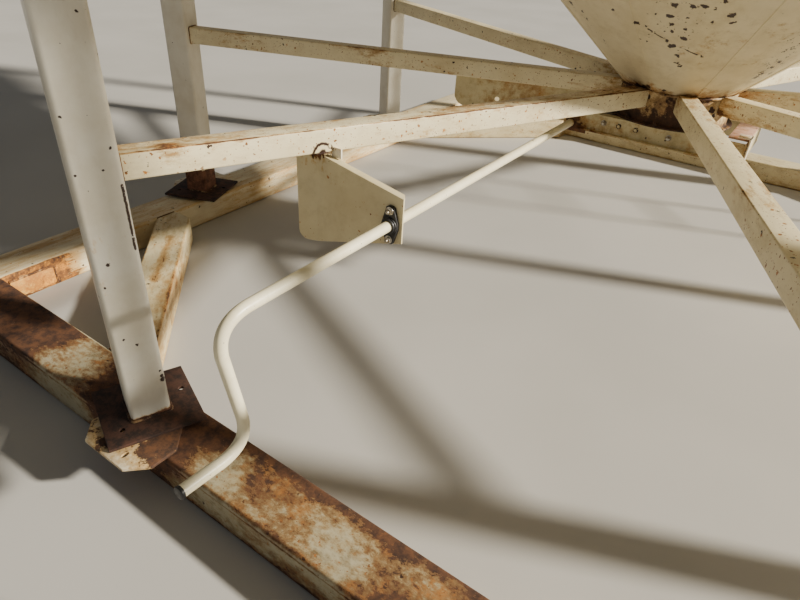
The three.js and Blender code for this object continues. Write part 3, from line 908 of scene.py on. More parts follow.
wear(rusted_paint(
    "leg_paint", tone(226, 221, 205), rust=0.02, stain=0.15, chips=0.28, gloss=0.33, grime=0.14,
    orange=0.25, bar=True, grain=(0.4, 1, 1), extra=leg_wear, chip_scale=24.0,
    tones=(tone(78, 48, 34), tone(134, 90, 66), tone(168, 118, 82)), marks=leg_marks),
     "cream_legs", *posts)

# %% [markdown]
# The foot plates have rusted to dark brown all over. The outriggers are nearly white where they
# stick out and rusted towards the silo, so one mask fades with the distance from its axis, measured
# on the ground. Two round masks add the rust by the near leg and at one end.

# %% Foot finishes
def outrigger_wear(f):
    far = f.vector("LENGTH", f.vector("MULTIPLY", f.spot, (1, 1, 0)), out="Value")
    leg = f.near((-0.918, -2.217, 0.15), 0.235, 0.17)
    end = f.near((-0.70, -2.29, 0.15), 0.14, 0.05)
    return 0.11 * leg + 0.14 * end + 0.07 * far.fade(2.47, 2.36)


DARK_RUST = (tone(40, 28, 22), tone(80, 52, 38), tone(116, 70, 42))
wear(rusted_paint(
    "foot_plate_rust", tone(150, 122, 100), rust=1.1, stain=1.0, chips=0.0, gloss=0.7,
    orange=0.05, tones=DARK_RUST, extra=lambda f: 0.08 * f.noise(3.0, 3, 0.5).fade(0.35, 0.65)),
     "rusted_frame", *foot_plates)
FOOT_WELD = rusted_paint(
    "foot_weld_rust", tone(190, 176, 150), rust=0.80, stain=0.8, film=0.9, chips=0.2, gloss=0.6,
    orange=0.2, tones=DARK_RUST)
wear(rusted_paint(
    "outrigger_paint", tone(234, 226, 200), rust=0.20, stain=0.8, film=0.35, speckle=0.8,
    chips=0.6, gloss=0.5, orange=0.2, extra=outrigger_wear,
    tones=(tone(52, 36, 26), tone(96, 62, 36), tone(158, 110, 56))), "rusted_frame", *outriggers)
wear(FOOT_WELD, "rusted_frame", *foot_welds)

# %% [markdown]
# ## Braces
# A brace is a 75 mm square tube that falls slightly from its leg to the hub. It could be a block
# between two points, but its end has to follow the slope of the cone, so each copy is tilted, cut
# along that slope, and only then turned to its place. A bead of weld closes the end at the leg.

# %% Eight braces
BRACE, BRACE_Z_LEG, BRACE_Z_HUB, HUB_R = 0.075, 0.993, 0.969, 0.240
RIM_R, RIM_Z, FIT = 0.2445, 1.001, 0.0003
BRACE_IN, BRACE_OUT = HUB_R + FIT, LEG_CIRCLE - LEG / 2 - FIT
FALL = math.atan2(BRACE_Z_LEG - BRACE_Z_HUB, BRACE_OUT - BRACE_IN)
CONE_INWARD = Vector((-0.665, 0, 0.747)).normalized()
span = BRACE_OUT - BRACE_IN
brace = block("brace_model", (span, BRACE, BRACE), (span / 2, 0, 0))
round_edges(brace, 0.0055, 4, runs_along(X))


def tilted(obj, i):
    mark_run(obj, BRACE_SHIFT * i)
    settle(obj, spot=(BRACE_IN, 0, BRACE_Z_HUB), turn=(0, -FALL, 0))
    smooth(cut(obj, (RIM_R + 0.0004, 0, RIM_Z), CONE_INWARD))


braces = spread(brace, "brace_tube", SLOTS, FIRST_SLOT, tilted, "brace")
brace_bead = bead("brace_bead_model", square_points(0.0385, 0.010, 0.0), 0.0035, True, 0.3, 6)
settle(settle(brace_bead, turn=(0, math.pi / 2, 0)), spot=(BRACE_OUT, 0, BRACE_Z_LEG))
brace_welds = spread(brace_bead, "brace_weld", SLOTS, FIRST_SLOT)
print("braces fall", round(math.degrees(FALL), 2), "degrees to the hub")

# %% [markdown]
# Rust speckles the cream of the braces and draws a broken line along the upper edge, where water
# lies: that is where across and up are both at their greatest. The front left brace is the worst.
# There the bracket's weld has burnt the paint off in a broken arch, which is a ring between two
# distances from the weld, with gaps from noise.

# %% Brace finish
def brace_wear(f):
    across, up = f.axes()[1:]
    corner = abs(across).fade(0.0325, 0.0355) * up.fade(0.0320, 0.0358)
    top = up.fade(0.0362, 0.0372)
    upper = up.fade(0.010, 0.034) * abs(across).fade(0.033, 0.0374)
    blotch = f.noise(2.0, 3, 0.5).fade(0.40, 0.56)
    worst = f.line((-0.092, -0.222, 0.97), (-0.894, -2.160, 0.99), 0.09, 0.06)
    cluster = f.near((-0.81, -2.06, 1.014), 0.060, 0.010)
    return (corner * (0.13 * worst + 0.06 * blotch) + 0.07 * (top * worst) + 0.11 * cluster
            + 0.03 * (upper * blotch) + 0.06 * f.near((0, 0, 0.97), 0.36, 0.26))


def burnt_ring(f):
    spot, moved = (-0.642, -1.639, 0.946), f.ragged(60, 0.014)
    ring = f.near(spot, 0.040, 0.036, moved) * (1.0 - f.near(spot, 0.030, 0.026, moved))
    gaps = f.noise(45, 3, 0.7).fade(0.42, 0.50)
    return ring * gaps | f.near(spot, 0.018, 0.012, moved)


wear(rusted_paint(
    "brace_paint", tone(230, 217, 178), rust=0.12, stain=0.45, film=0.6, speckle=1.4, chips=1.0,
    gloss=0.42, grime=0.3, orange=0.2, bar=True, grain=(0.6, 1.4, 1.4), extra=brace_wear,
    chip_scale=30.0, marks=burnt_ring), "cream_frame", *braces)
wear(WELD, "cream_frame", *brace_welds)

# %% [markdown]
# ## Hub and hopper cone
# The hub is a short round spout with a flange under it. The cone above is nine gores of sheet. They
# could be stacked cylinders, but a profile that is drawn once and spun round the axis gives even
# slopes and a true wall thickness. A full turn meets itself, so its doubles are merged before the
# normals are set.

# %% Spin
def spun(name, profile, sweep=360, steps=96):
    """Spins a closed profile of (radius, height) points round the silo's axis."""
    whole = sweep == 360
    obj = traced(name, [(r, 0, z) for r, z in profile], filled=not whole)
    edit(obj, "EDGE" if whole else "FACE", everything, lambda: bpy.ops.mesh.spin(
        steps=steps, angle=math.radians(sweep), center=(0, 0, 0), axis=(0, 0, 1)))
    edit(obj, "EDGE", everything, merge_points, bpy.ops.mesh.delete_loose, face_outwards)
    return smooth(obj, 30)


def ring_points(r, z, step):
    count = round(2 * math.pi * r / step)
    return [(r * math.cos(2 * math.pi * i / count), r * math.sin(2 * math.pi * i / count), z)
            for i in range(count)]


HUB_LOW = 0.8613
FLANGE_TOP = HUB_LOW + 0.008
hub = spun("hub_collar", [
    (0.175, HUB_LOW), (0.262, HUB_LOW), (0.264, HUB_LOW + 0.002), (0.264, FLANGE_TOP - 0.002),
    (0.262, FLANGE_TOP), (0.244, FLANGE_TOP), (HUB_R, FLANGE_TOP + 0.004), (HUB_R, 0.993),
    (0.234, 0.993), (0.234, FLANGE_TOP), (0.175, FLANGE_TOP)])
rim = bead("rim_weld", ring_points(RIM_R + 0.0005, 0.9975, 0.010), 0.0055, True, 0.35, 5)
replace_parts(hub, "hub_spout")
print("hub:", len(hub.data.polygons), "faces")

# %% [markdown]
# The gores are joined by welds that run straight up the slope, every 40 degrees. One bead is laid
# along the slope, which follows from the cone's two ends, and copied round.

# %% Cone and seams
BARREL_R, SHEET_WALL, CONE_TOP, GORES = 2.330, 0.004, 2.856, 9
CONE_R = BARREL_R - SHEET_WALL
cone = spun("hopper_cone", [
    (RIM_R, RIM_Z), (CONE_R, CONE_TOP), (CONE_R, CONE_TOP + 0.006), (0.234, 1.003),
    (0.234, 0.9933), (RIM_R, 0.9933)], steps=144)
slope = (CONE_TOP - RIM_Z) / (CONE_R - RIM_R)
radii = [RIM_R + 0.004 + (BARREL_R - RIM_R - 0.010) * k / 110 for k in range(111)]
seam = bead("seam_model", [(r, 0, RIM_Z + (r - RIM_R) * slope) for r in radii], 0.0022, rough=0.2)
seams = spread(seam, "gore_seam", range(1, GORES + 1), 20)
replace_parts(cone, *[f"hopper_gore_{k}" for k in range(1, GORES + 1)])
print("cone slope:", round(math.degrees(math.atan(slope)), 1), "degrees")

# %% [markdown]
# On the front of the cone the paint has chipped off in small dark pieces. They could be scattered
# at random, but their places are seen, so each is a point with a radius, in millimetres. Noise
# moves the places they are looked up at, which makes the outlines ragged.

# %% Chips on the cone
CONE_CHIPS = (
    (-391, -444, 1311, 11), (-335, -456, 1287, 8), (-317, -431, 1260, 9), (-253, -370, 1182, 5),
    (-179, -577, 1321, 6), (-92, -562, 1290, 11), (-77, -495, 1230, 6), (-59, -559, 1284, 7),
    (-59, -493, 1225, 6), (-18, -616, 1332, 6), (30, -613, 1330, 12), (44, -658, 1371, 14),
    (104, -652, 1371, 13), (135, -652, 1376, 13), (169, -641, 1374, 6), (84, -611, 1333, 7),
    (36, -583, 1304, 10), (34, -554, 1278, 11), (80, -565, 1291, 7), (75, -529, 1259, 12),
    (36, -491, 1221, 14), (18, -511, 1239, 9), (57, -448, 1185, 9), (52, -414, 1155, 7),
    (64, -399, 1143, 9), (135, -443, 1195, 6), (219, -606, 1357, 12), (221, -576, 1333, 9),
    (165, -587, 1327, 8), (194, -664, 1399, 9), (-78, -240, 1008, 22), (-60, -262, 1018, 12),
    (-118, -235, 1012, 9), (0, -262, 1014, 10))
FLAKE = (55.0, 0.036)


def cone_marks(f):
    clusters = most(f.near((0.05, -0.60, 1.32), 0.14, 0.06),
                    f.line((-0.39, -0.45, 1.31), (-0.26, -0.36, 1.18), 0.05),
                    f.line((0.33, -0.19, 1.12), (0.42, -0.42, 1.32), 0.06, 0.02),
                    f.line((-0.08, -0.55, 1.28), (0.11, -0.455, 1.20), 0.04, 0.01))
    crumbs = f.specks(85, 0.26, 0.5, 1.4) * clusters.fade(0.2, 0.6)
    stripe = f.line((0.33, -0.20, 1.13), (0.43, -0.42, 1.33), 0.05, 0.02)
    scratch = f.line((-0.048, -0.548, 1.273), (0.121, -0.452, 1.200), 0.0046, 0.0030,
                     f.ragged(40, 0.010))
    gaps = f.noise(55, 3, 0.6).fade(0.34, 0.42)
    return most(f.chips_at(CONE_CHIPS, *FLAKE), crumbs, f.specks(42, 0.55, 0.9, 1.8) * stripe,
                scratch * gaps)


print("chips on the cone:", len(CONE_CHIPS))

# %% [markdown]
# Rust has crept up from the cone's rim, most of all at one blotch. Water that drips from the cone
# has rusted the hub dark, and that dark is partly painted shade under the cone; the cream left on
# the side that faces right is partly painted light.

# %% Hub and cone finishes
HUB_FLAKES = (
    (-85, -226, 985, 18), (-60, -233, 975, 13), (-100, -220, 962, 11), (-75, -229, 950, 10),
    (190, -148, 950, 16), (200, -134, 930, 13))


def cone_wear(f):
    z = f.axes()[2]
    return (0.13 * z.fade(1.080, 1.005) + 0.07 * z.fade(1.024, 1.003)
            + 0.09 * f.near((-0.07, -0.25, 1.005), 0.11, 0.02)
            + 0.03 * f.near((-0.19, -0.17, 1.03), 0.16, 0.04) - 0.035)


def hub_wear_and_light(f):
    # darker low down from rust; the cream kept round the right side is partly painted light
    return 0.06 * f.axes()[2].fade(0.92, 0.87) - 0.19 * f.near((0.235, -0.06, 0.96), 0.20, 0.05)


# the hub's dark rust, which is partly painted shade under the cone
HUB_PAINT = rusted_paint(
    "hub_paint", tone(222, 206, 164), rust=0.95, stain=0.9, film=0.8, chips=0.3, gloss=0.6,
    grime=0.7, orange=0.0, marks=lambda f: f.chips_at(HUB_FLAKES, *FLAKE), extra=hub_wear_and_light,
    tones=(tone(44, 29, 21), tone(78, 50, 32), tone(116, 76, 44)))
wear(rusted_paint(
    "cone_paint", tone(219, 206, 170), rust=0.02, stain=0.48, film=0.7, chips=0.10, gloss=0.42,
    grime=0.26, extra=cone_wear, chip_scale=20.0, marks=cone_marks), "cream_sheet", cone, *seams)
wear(HUB_PAINT, "rusted_frame", hub, rim)

# %% [markdown]
# ## The slide gate
# Under the hub's flange two rails carry a sliding plate. Their solids already have the right form,
# and modelling them again would only repeat the same boxes. So a copy is dressed: its loose
# triangles are merged, flat faces are joined, and its edges get a small round, which catches the
# light as a folded edge does.

# %% Dressed copies
def dressed(node, name, width):
    """A copy of a solid with merged faces and slightly rounded edges."""
    obj = bpy.data.objects.new(name, frame["nodes"][node].data.copy())
    bpy.context.collection.objects.link(obj)
    obj.data.name = name
    edit(obj, "EDGE", everything, merge_points,
         lambda: bpy.ops.mesh.dissolve_limited(angle_limit=math.radians(1)))
    rounding = obj.modifiers.new("rounding", "BEVEL")
    rounding.width, rounding.segments = width, 2
    rounding.limit_method, rounding.angle_limit = "ANGLE", math.radians(40)
    bpy.ops.object.modifier_apply(modifier="rounding")
    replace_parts(obj, node)
    return smooth(obj)


rails = dressed("gate_frame", "gate_rails", 0.0012)
slide = dressed("gate_slide", "gate_plate", 0.0010)
print("rails:", len(rails.data.polygons), "faces; slide:", len(slide.data.polygons))

# %% [markdown]
# ### Pinions
# Two pinions on the crank's rod drive the racks on the slide. They could be spun, but teeth are not
# round: each pinion is a cylinder whose side faces are picked in groups and pushed outwards, so
# that sixteen teeth stand on the root circle and reach as far as the solid does.

# %% Toothed wheels
ROD_X, ROD_Z, ROD_R = -0.378, 0.788, 0.01685
ALONG_Y = (math.pi / 2, 0, 0)
TIP, ROOT, TEETH = 0.042, 0.0345, 16


def on_tooth(middle, normal):
    step = math.atan2(middle.z - ROD_Z, middle.x - ROD_X) / math.tau * TEETH
    return abs(normal.y) < 0.5 and step % 1.0 < 0.5


wheels = []
for place, y0, y1 in (("near", -0.106, -0.074), ("far", 0.074, 0.106)):
    spot = (ROD_X, (y0 + y1) / 2, ROD_Z)
    obj = rod(ROOT, y1 - y0, spot, ALONG_Y, 4 * TEETH, f"pinion_wheel_{place}")
    edit(obj, "FACE", on_tooth, bpy.ops.mesh.extrude_region_move,
         lambda: bpy.ops.transform.resize(value=(TIP / ROOT, 1, TIP / ROOT),
                                          center_override=(ROD_X, 0, ROD_Z)))
    drill(obj, spot, ROD_R + 0.0006, ALONG_Y, depth=0.2)
    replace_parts(smooth(obj, 30), f"pinion_{place}")
    wheels.append(obj)
print("pinions:", [len(obj.data.polygons) for obj in wheels], "faces")

# %% [markdown]
# ### Bolts
# A bolt is three stacked shapes: a washer, a six-sided head with its top edge bevelled, and the end
# of its shank. It is made once, standing on the origin, and copied to each place, turned so that it
# points out of its surface.

# %% One bolt, many places
BOLT, SHANK, RAIL_FACE = 0.0105, 0.009, 0.2052
parts = []
for radius, depth, low, sides in ((1.25 * BOLT, 0.16 * BOLT, 0.0, 28),
                                  (0.95 * BOLT, 0.62 * BOLT, 0.16 * BOLT, 6),
                                  (0.48 * BOLT, SHANK, 0.7 * BOLT, 14)):
    part = rod(radius, depth, (0, 0, low + depth / 2), sides=sides)
    parts.append(round_edges(part, 0.06 * BOLT, 2,
                             lambda m, d: abs(d.z) < 0.5 and m.z > low + depth * 0.9))
pick(*parts)
bpy.ops.object.join()
bolt = smooth(settle(bpy.context.object, "bolt_model"), 30)


def bolt_at(name, point, outward):
    made = twin(bolt, name)
    made.rotation_mode = "QUATERNION"
    made.rotation_quaternion = Vector(outward).to_track_quat("Z", "Y")
    return settle(made, spot=point)


bolts = [bolt_at(f"rail_bolt_{name}_{k}", (x, side * RAIL_FACE, z), (0, side, 0))
         for k, (x, z) in enumerate(((-0.224, 0.820), (0.064, 0.818)))
         for name, side in (("near", -1), ("far", 1))]
flange_bolts = []
for k, degrees in enumerate((60, 90, 120, 240, 270, 300)):
    a = math.radians(degrees)
    spot = (0.253 * math.cos(a), 0.253 * math.sin(a), FLANGE_TOP + 0.0002)
    flange_bolts.append(bolt_at(f"flange_bolt_{k}", spot, (0, 0, 1)))
# the flange bolts take the hub's dark rust, partly painted shade: they lie in the hub's shade
wear(HUB_PAINT, "rusted_frame", *flange_bolts)

# %% [markdown]
# Between the bolts, two round heads have been painted over; they are flat discs with a rounded rim.
# At the right end of the rail a white angle and a plate in pink primer close the gate's end.

# %% Painted heads and the end angle
STUDS = ((-0.155, -RAIL_FACE, 0.820), (-0.079, -RAIL_FACE, 0.820))
STUD_R, STUD_H = 0.0085, 0.005
studs = []
for k, (x, y, z) in enumerate(STUDS):
    stud = rod(STUD_R, STUD_H, (x, y - STUD_H / 2, z), ALONG_Y, name=f"rail_stud_{k}")
    studs.append(smooth(round_edges(stud, 0.0018, 3, lambda m, d: m.y < y - 0.0045)))
angle = [block("end_angle", (0.006, 0.050, 0.118), (0.372, -0.182, 0.828)),
         block("end_angle_foot", (0.050, 0.050, 0.006), (0.350, -0.182, 0.884))]
end_plate = block("end_plate", (0.080, 0.300, 0.008), (0.325, -0.02, 0.866))
for obj in (*angle, end_plate):
    smooth(round_edges(obj, 0.0012))
print("painted heads:", len(studs), "and the end angle of", len(angle), "strips")

# %% [markdown]
# ### The gate's finishes
# The rails are olive cream with a rusted left end and rusted lower edges. A thin rusted ring lies
# round each painted head: near it, but not nearer than its rim.

# %% Painted gate finishes
def stud_rings(f):
    rings = [f.near(spot, 0.0130, 0.0112) * (1.0 - f.near(spot, 0.0086, 0.0076))
             for spot in STUDS]
    return most(*rings) * f.noise(90, 3, 0.6).fade(0.38, 0.50)


def gate_wear(f):
    end = f.near((-0.37, -0.21, 0.79), 0.09, 0.03)
    return 0.14 * end + 0.07 * f.axes()[2].fade(0.783, 0.776)


GATE_PAINT = rusted_paint(
    "gate_paint", tone(206, 193, 150), rust=0.18, stain=0.6, film=0.5, speckle=0.5, chips=0.8,
    gloss=0.5, grime=0.5, chip_scale=34.0, marks=stud_rings, extra=gate_wear)
ANGLE_PAINT = rusted_paint("white_angle_paint", tone(234, 228, 210), rust=0.10, speckle=0.6,
                           chips=0.6, gloss=0.4)
wear(rusted_paint("primer_paint", tone(198, 164, 146), film=0.4, gloss=0.55),
     "cream_frame", end_plate)
wear(GATE_PAINT, "cream_frame", rails, *studs)
wear(ANGLE_PAINT, "cream_frame", *angle)

# %% [markdown]
# The slide and pinions are bare steel that rubs bright and rusts between uses. Bolts are bright
# zinc that has started to brown. One function makes both, with metal everywhere but in the rust.

# %% Bare metal
def steel(name, bright, dull, rust_share, scale):
    f = Finish(name)
    rub = f.noise(scale, 5, 0.6, f.stretched((0.25, 1, 1))).fade(0.42, 0.60)
    blend = f.noise(8, 6, 0.7) * 0.7 + f.noise(80, 3, 0.7) * 0.3
    rusty = blend.fade(0.62 - 0.2 * rust_share, 0.70 - 0.2 * rust_share)
    colour = f.mix(rusty, f.mix(rub, bright, dull), rust_colour(f, 0.3, RUST))
    return f.done(colour, 0.36 + rub * 0.1 + rusty * 0.4, f.noise(200, 3, 0.6), 0.0005, 0.4,
                  rusty.fade(0.0, 1.0, 0.85, 0.05))


BARE_STEEL = steel("bare_steel", tone(150, 144, 134), tone(98, 88, 78), 0.6, 5)
BOLT_ZINC = steel("bolt_zinc", tone(196, 192, 182), tone(140, 128, 108), 0.15, 60)
wear(BARE_STEEL, "bare_steel", slide, body="gate")
wear(BARE_STEEL, "bare_steel", *wheels, body="crank")
wear(BOLT_ZINC, "bare_steel", *bolts)

# %% [markdown]
# ## The crank
# One pipe, bent twice by hand at its near end, runs from the gate to the grip. A curve with a round
# bevel is the natural way to make it: its bends stay round and even. The knots and the two bend
# points are those of the solid; a handle two thirds of the way to a bend point gives the same arc.

# %% Crank pipe
def on_crank(y, z):
    return Vector((ROD_X, y, z))


KNOTS = [on_crank(0.222, ROD_Z), on_crank(-2.200, ROD_Z), on_crank(-2.300, 0.688),
         on_crank(-2.263, 0.470), on_crank(-2.345, 0.369), on_crank(-2.469, 0.376)]
BENDS = {1: on_crank(-2.309, ROD_Z), 3: on_crank(-2.248, 0.370)}
crank, strand = round_line(ROD_R, 8, "BEZIER")
crank.data.resolution_u = 24
strand.bezier_points.add(len(KNOTS) - 1)
for i, knot in enumerate(strand.bezier_points):
    before, after = KNOTS[max(i - 1, 0)], KNOTS[min(i + 1, len(KNOTS) - 1)]
    knot.handle_left_type = knot.handle_right_type = "FREE"
    knot.co = KNOTS[i]
    knot.handle_left = KNOTS[i].lerp(BENDS.get(i - 1, before), 2 / 3)
    knot.handle_right = KNOTS[i].lerp(BENDS.get(i, after), 2 / 3)
crank = smooth(settle(as_mesh(crank), "crank_pipe"), 40)
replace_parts(crank, "crank_rod")
print("crank pipe:", len(crank.data.polygons), "faces")

# %% [markdown]
# A black cap closes the grip: a short cylinder, tipped as the grip is, with its outer rim rounded.

# %% Grip cap
GRIP_TIP = math.atan2(7, 124)
cap = rod(0.01845, 0.009, (ROD_X, -2.4739, 0.3763), (math.pi / 2 - GRIP_TIP, 0, 0), 40, "grip_cap")
smooth(round_edges(cap, 0.002, 3, lambda m, d: m.y < -2.477))
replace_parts(cap, "crank_end_cap")
print("grip tipped by", round(math.degrees(GRIP_TIP), 1), "degrees")

# %% [markdown]
# The pipe has the legs' glossy white, a shade creamier, rubbed at the bearing and rusted only where
# it enters the gate. The cap is black plastic that has greyed unevenly.

# %% Crank finishes
BEARING_Y = -1.625


def crank_wear(f):
    bearing = f.near((ROD_X, BEARING_Y, ROD_Z), 0.05, 0.03)
    return 0.12 * f.axes()[1].fade(-0.26, -0.19) + 0.05 * bearing


def black(name, dull, gloss):
    f = Finish(name)
    colour = f.mix(f.noise(120, 4, 0.7).fade(0.4, 0.7), tone(26, 26, 28), dull)
    rough = f.noise(60, 3, 0.6).fade(0.3, 0.7, gloss, gloss + 0.25)
    return f.done(colour, rough, f.noise(400, 2, 0.5), 0.0002, 0.3)


wear(rusted_paint(
    "crank_paint", tone(240, 231, 197), rust=0.03, stain=0.2, chips=0.35, gloss=0.36, grime=0.2,
    chip_scale=40.0, extra=crank_wear), "cream_legs", crank, body="crank")
wear(black("black_plastic", tone(62, 60, 58), 0.35), "black_plastic", cap, body="crank")

# %% [markdown]
# ## The bracket
# A folded plate hangs from the front left brace and carries the crank. It could be bent from one
# flat outline, but each flange is simpler as a plate of its own. The web is drawn in one outline
# with the neck that reaches up to the brace, extruded by the sheet's thickness and drilled.

# %% Bracket web
ROOT_X, END_X, SHEET = -0.677, -0.338, 0.006
FRONT = BEARING_Y - SHEET / 2


def upright(name, outline, y, thick=SHEET):
    """A plate drawn in x and z, and extruded along y."""
    return plate(name, [(x, y, z) for x, z in outline], (0, thick, 0))


def under_brace(r):
    return BRACE_Z_HUB + (r - BRACE_IN) * math.tan(FALL) - BRACE / 2


def softened(obj):
    """Rounds the long edges of an upright plate a little."""
    return round_edges(obj, 0.0008, 1, lambda m, d: abs(d.y) < 0.3)


hung = under_brace(math.hypot(ROOT_X, BEARING_Y)) - 0.0012
web = softened(upright("bracket_web", [
    (ROOT_X, 0.627), (END_X, 0.733), (END_X, 0.880), (ROOT_X + 0.030, 0.934),
    (ROOT_X + 0.022, hung), (ROOT_X - 0.022, hung), (ROOT_X, 0.934)], FRONT))
drill(web, (ROD_X, BEARING_Y, ROD_Z), ROD_R + 0.001, ALONG_Y)
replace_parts(web, "rod_bracket")
print("bracket hangs from z =", round(hung, 4))

# %% [markdown]
# The web gets a lip along its sloped top edge, cut at an angle at its outer end, and at its root a
# flange that is turned towards the viewer and has a rounded lower corner.

# %% Lip and root flange
LIP_DEPTH, LIP_END = 0.026, END_X - 0.003
lip = upright("bracket_lip", [
    (LIP_END, 0.874), (LIP_END, 0.8805), (ROOT_X + 0.030, 0.9345), (ROOT_X + 0.030, 0.928)],
    FRONT - 0.0002, LIP_DEPTH)
round_edges(lip, 0.0022, 3, lambda m, d: m.y < BEARING_Y and m.z > 0.878)
cut(lip, (END_X - 0.004, FRONT + 0.012, 0), (0.8, 0.6, 0))
root = softened(upright("bracket_root", [
    (0.0, 0.627), (-0.038, 0.629), (-0.050, 0.633), (-0.059, 0.641), (-0.066, 0.652),
    (-0.068, 0.664), (-0.068, 0.934), (0.0, 0.934)], -SHEET / 2))
settle(turned(root, 25), spot=(ROOT_X + 0.001, BEARING_Y, 0))
print("lip:", len(lip.data.polygons), "faces; root:", len(root.data.polygons))

# %% [markdown]
# A short uneven bead on the brace's lower edge holds the bracket, beside a small square tab. The
# bead's ends follow from the brace's own direction, so it lies on its side face.

# %% Weld and tab
BRACE_TURN = math.radians(67.5)
out = Vector((math.sin(BRACE_TURN), -math.cos(BRACE_TURN), 0))
along = Vector((out.y, -out.x, 0)).normalized()
face = Vector((ROOT_X, BEARING_Y, hung + 0.001)) + out * (BRACE / 2 - 0.003)
burnt = bead("bracket_weld", between(face - along * 0.021, face + along * 0.021, 0.006), 0.0042,
             rough=0.5, seed=8)
tab = round_edges(upright("bracket_tab", [
    (-0.632, 0.931), (-0.595, 0.931), (-0.595, 0.963), (-0.632, 0.963)], -1.606), 0.001)
for obj in (web, lip, root, tab):
    smooth(obj)
print("bracket weld:", len(burnt.data.vertices), "points")

# %% [markdown]
# ### The flange bearing
# The black bearing is a lozenge-shaped flange with a round boss that the pipe runs through. The
# flange is drawn and extruded; the boss is two cylinders with rounded rims, joined on and drilled.
# A bolt sits above and below it, with its nut behind the bracket.

# %% Bearing
FACE, FLANGE = FRONT - 0.0003, 0.0115
half = [(-0.0285, -0.010), (-0.0285, 0.010), (-0.014, 0.0585), (-0.007, 0.0625),
        (0.007, 0.0625), (0.014, 0.0585)]
lozenge = [(ROD_X + s * x, ROD_Z + s * z) for s in (1, -1) for x, z in half]
flange = upright("bearing_flange", lozenge, FACE - FLANGE, FLANGE)
parts = [round_edges(flange, 0.0025, 3, lambda m, d: m.y < FACE - 0.01)]
for radius, y0, y1 in ((0.0275, -0.0165, 0.0), (0.0240, -0.0225, -0.012)):
    boss = rod(radius, y1 - y0, (ROD_X, FACE + (y0 + y1) / 2, ROD_Z), ALONG_Y, 48)
    parts.append(round_edges(boss, 0.0022, 3, lambda m, d: m.y < FACE + y0 + 0.002))
for part in parts:
    drill(part, (ROD_X, FACE, ROD_Z), ROD_R + 0.0007, ALONG_Y, depth=0.12)
pick(*parts)
bpy.ops.object.join()
bearing = smooth(bpy.context.object)
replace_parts(bearing, "rod_bearing")
fixings = []
for k, z in enumerate((ROD_Z + 0.0475, ROD_Z - 0.0475)):
    fixings += [bolt_at(f"bearing_bolt_{k}", (ROD_X, FACE - 0.0116, z), (0, -1, 0)),
                bolt_at(f"bearing_nut_{k}", (ROD_X, BEARING_Y + 0.0032, z), (0, 1, 0))]
scrap(bolt)
wear(BOLT_ZINC, "bare_steel", *fixings)
print("bearing:", len(bearing.data.polygons), "faces")

# %% [markdown]
# The bracket has smooth cream paint with few marks. Rust runs down from its weld: a round mask that
# is broken into streaks by noise stretched along z. The bearing is black paint that has dulled.

# %% Bracket finishes
def bracket_wear(f):
    streaks = f.noise(22, 3, 0.6, f.stretched((5, 5, 0.6))).fade(0.44, 0.62)
    drops = f.near((ROOT_X, -1.628, 0.935), 0.110, 0.010) * streaks
    return 0.20 * f.near((ROOT_X, -1.628, 0.950), 0.042, 0.018) + 0.15 * drops


BRACKET_PAINT = rusted_paint(
    "bracket_paint", tone(216, 203, 163), rust=0.04, stain=0.3, speckle=0.3, chips=0.45,
    gloss=0.40, grime=0.2, extra=bracket_wear, chip_scale=18.0)
wear(black("black_paint", tone(54, 52, 50), 0.4), "black_paint", bearing)
wear(BRACKET_PAINT, "cream_frame", web, lip, root)
wear(ANGLE_PAINT, "cream_frame", tab)
wear(FOOT_WELD, "cream_frame", burnt)

# %% [markdown]
# ## The stiffener
# Under the left front brace hangs a deep plate with its outer lower corner rounded and one hole. It
# is drawn along x in one outline, extruded and drilled, then turned with its brace.

# %% Stiffener
def hang_line(r):
    return (r, under_brace(r) - 0.0006)


stiffener = softened(upright("stiffener_plate", [
    (0.300, 0.880), (0.540, 0.880), (0.560, 0.797), (0.930, 0.797), (0.950, 0.8005),
    (0.966, 0.809), (0.978, 0.822), (0.986, 0.838), (0.988, 0.853), hang_line(0.988),
    hang_line(0.300)], -SHEET / 2))
drill(stiffener, (0.783, 0, 0.846), 0.011, ALONG_Y)
smooth(turned(stiffener, FIRST_SLOT + SLOT_STEP * SLOTS.index("left_front")))
wear(GATE_PAINT, "cream_frame", stiffener)
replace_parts(stiffener, "brace_stiffener")
print("stiffener:", tuple(round(v, 3) for v in stiffener.dimensions))

# %% [markdown]
# ## The barrel, roof and filler
# Above the legs the silo is a plain welded barrel with a shallow conical roof. The picture shows
# only the foot, so these parts are made as silos of this kind usually are, from profiles spun
# through a quarter turn. The ring that rests on the legs is a rolled channel.

# %% Barrel, roof and ring
BARREL_LOW, BARREL_TOP, EAVES = 2.8623, 6.450, 2.390
RING_R, RING_IN, LIP, RING_H = 2.480, BARREL_R + 0.008, 0.008, 0.080
ROOF_LOW = BARREL_TOP + FIT
PROFILES = {
    "barrel": [(CONE_R, BARREL_LOW), (BARREL_R, BARREL_LOW), (BARREL_R, BARREL_TOP),
               (CONE_R, BARREL_TOP)],
    "roof": [(r, ROOF_LOW + z) for r, z in (
        (EAVES, -0.040), (EAVES, 0.004), (0.300, 1.104), (0.300, 1.100), (BARREL_R, 0.0),
        (2.386, 0.0), (2.386, -0.040))]}
QUARTERS = ("rear_right", "rear_left", "front_left", "front_right")
sheets = []
for kind, profile in PROFILES.items():
    sheets += spread(spun(f"{kind}_model", profile, 90, 36), f"{kind}_sheet", QUARTERS,
                     node=f"{kind}_panel")
ring = spun("support_ring", [(r, LEG_TOP + z) for r, z in (
    (BARREL_R + FIT, 0), (RING_R, 0), (RING_R, LIP), (RING_IN, LIP), (RING_IN, RING_H - LIP),
    (RING_R, RING_H - LIP), (RING_R, RING_H), (BARREL_R + FIT, RING_H))], steps=144)
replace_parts(ring, "leg_ring")
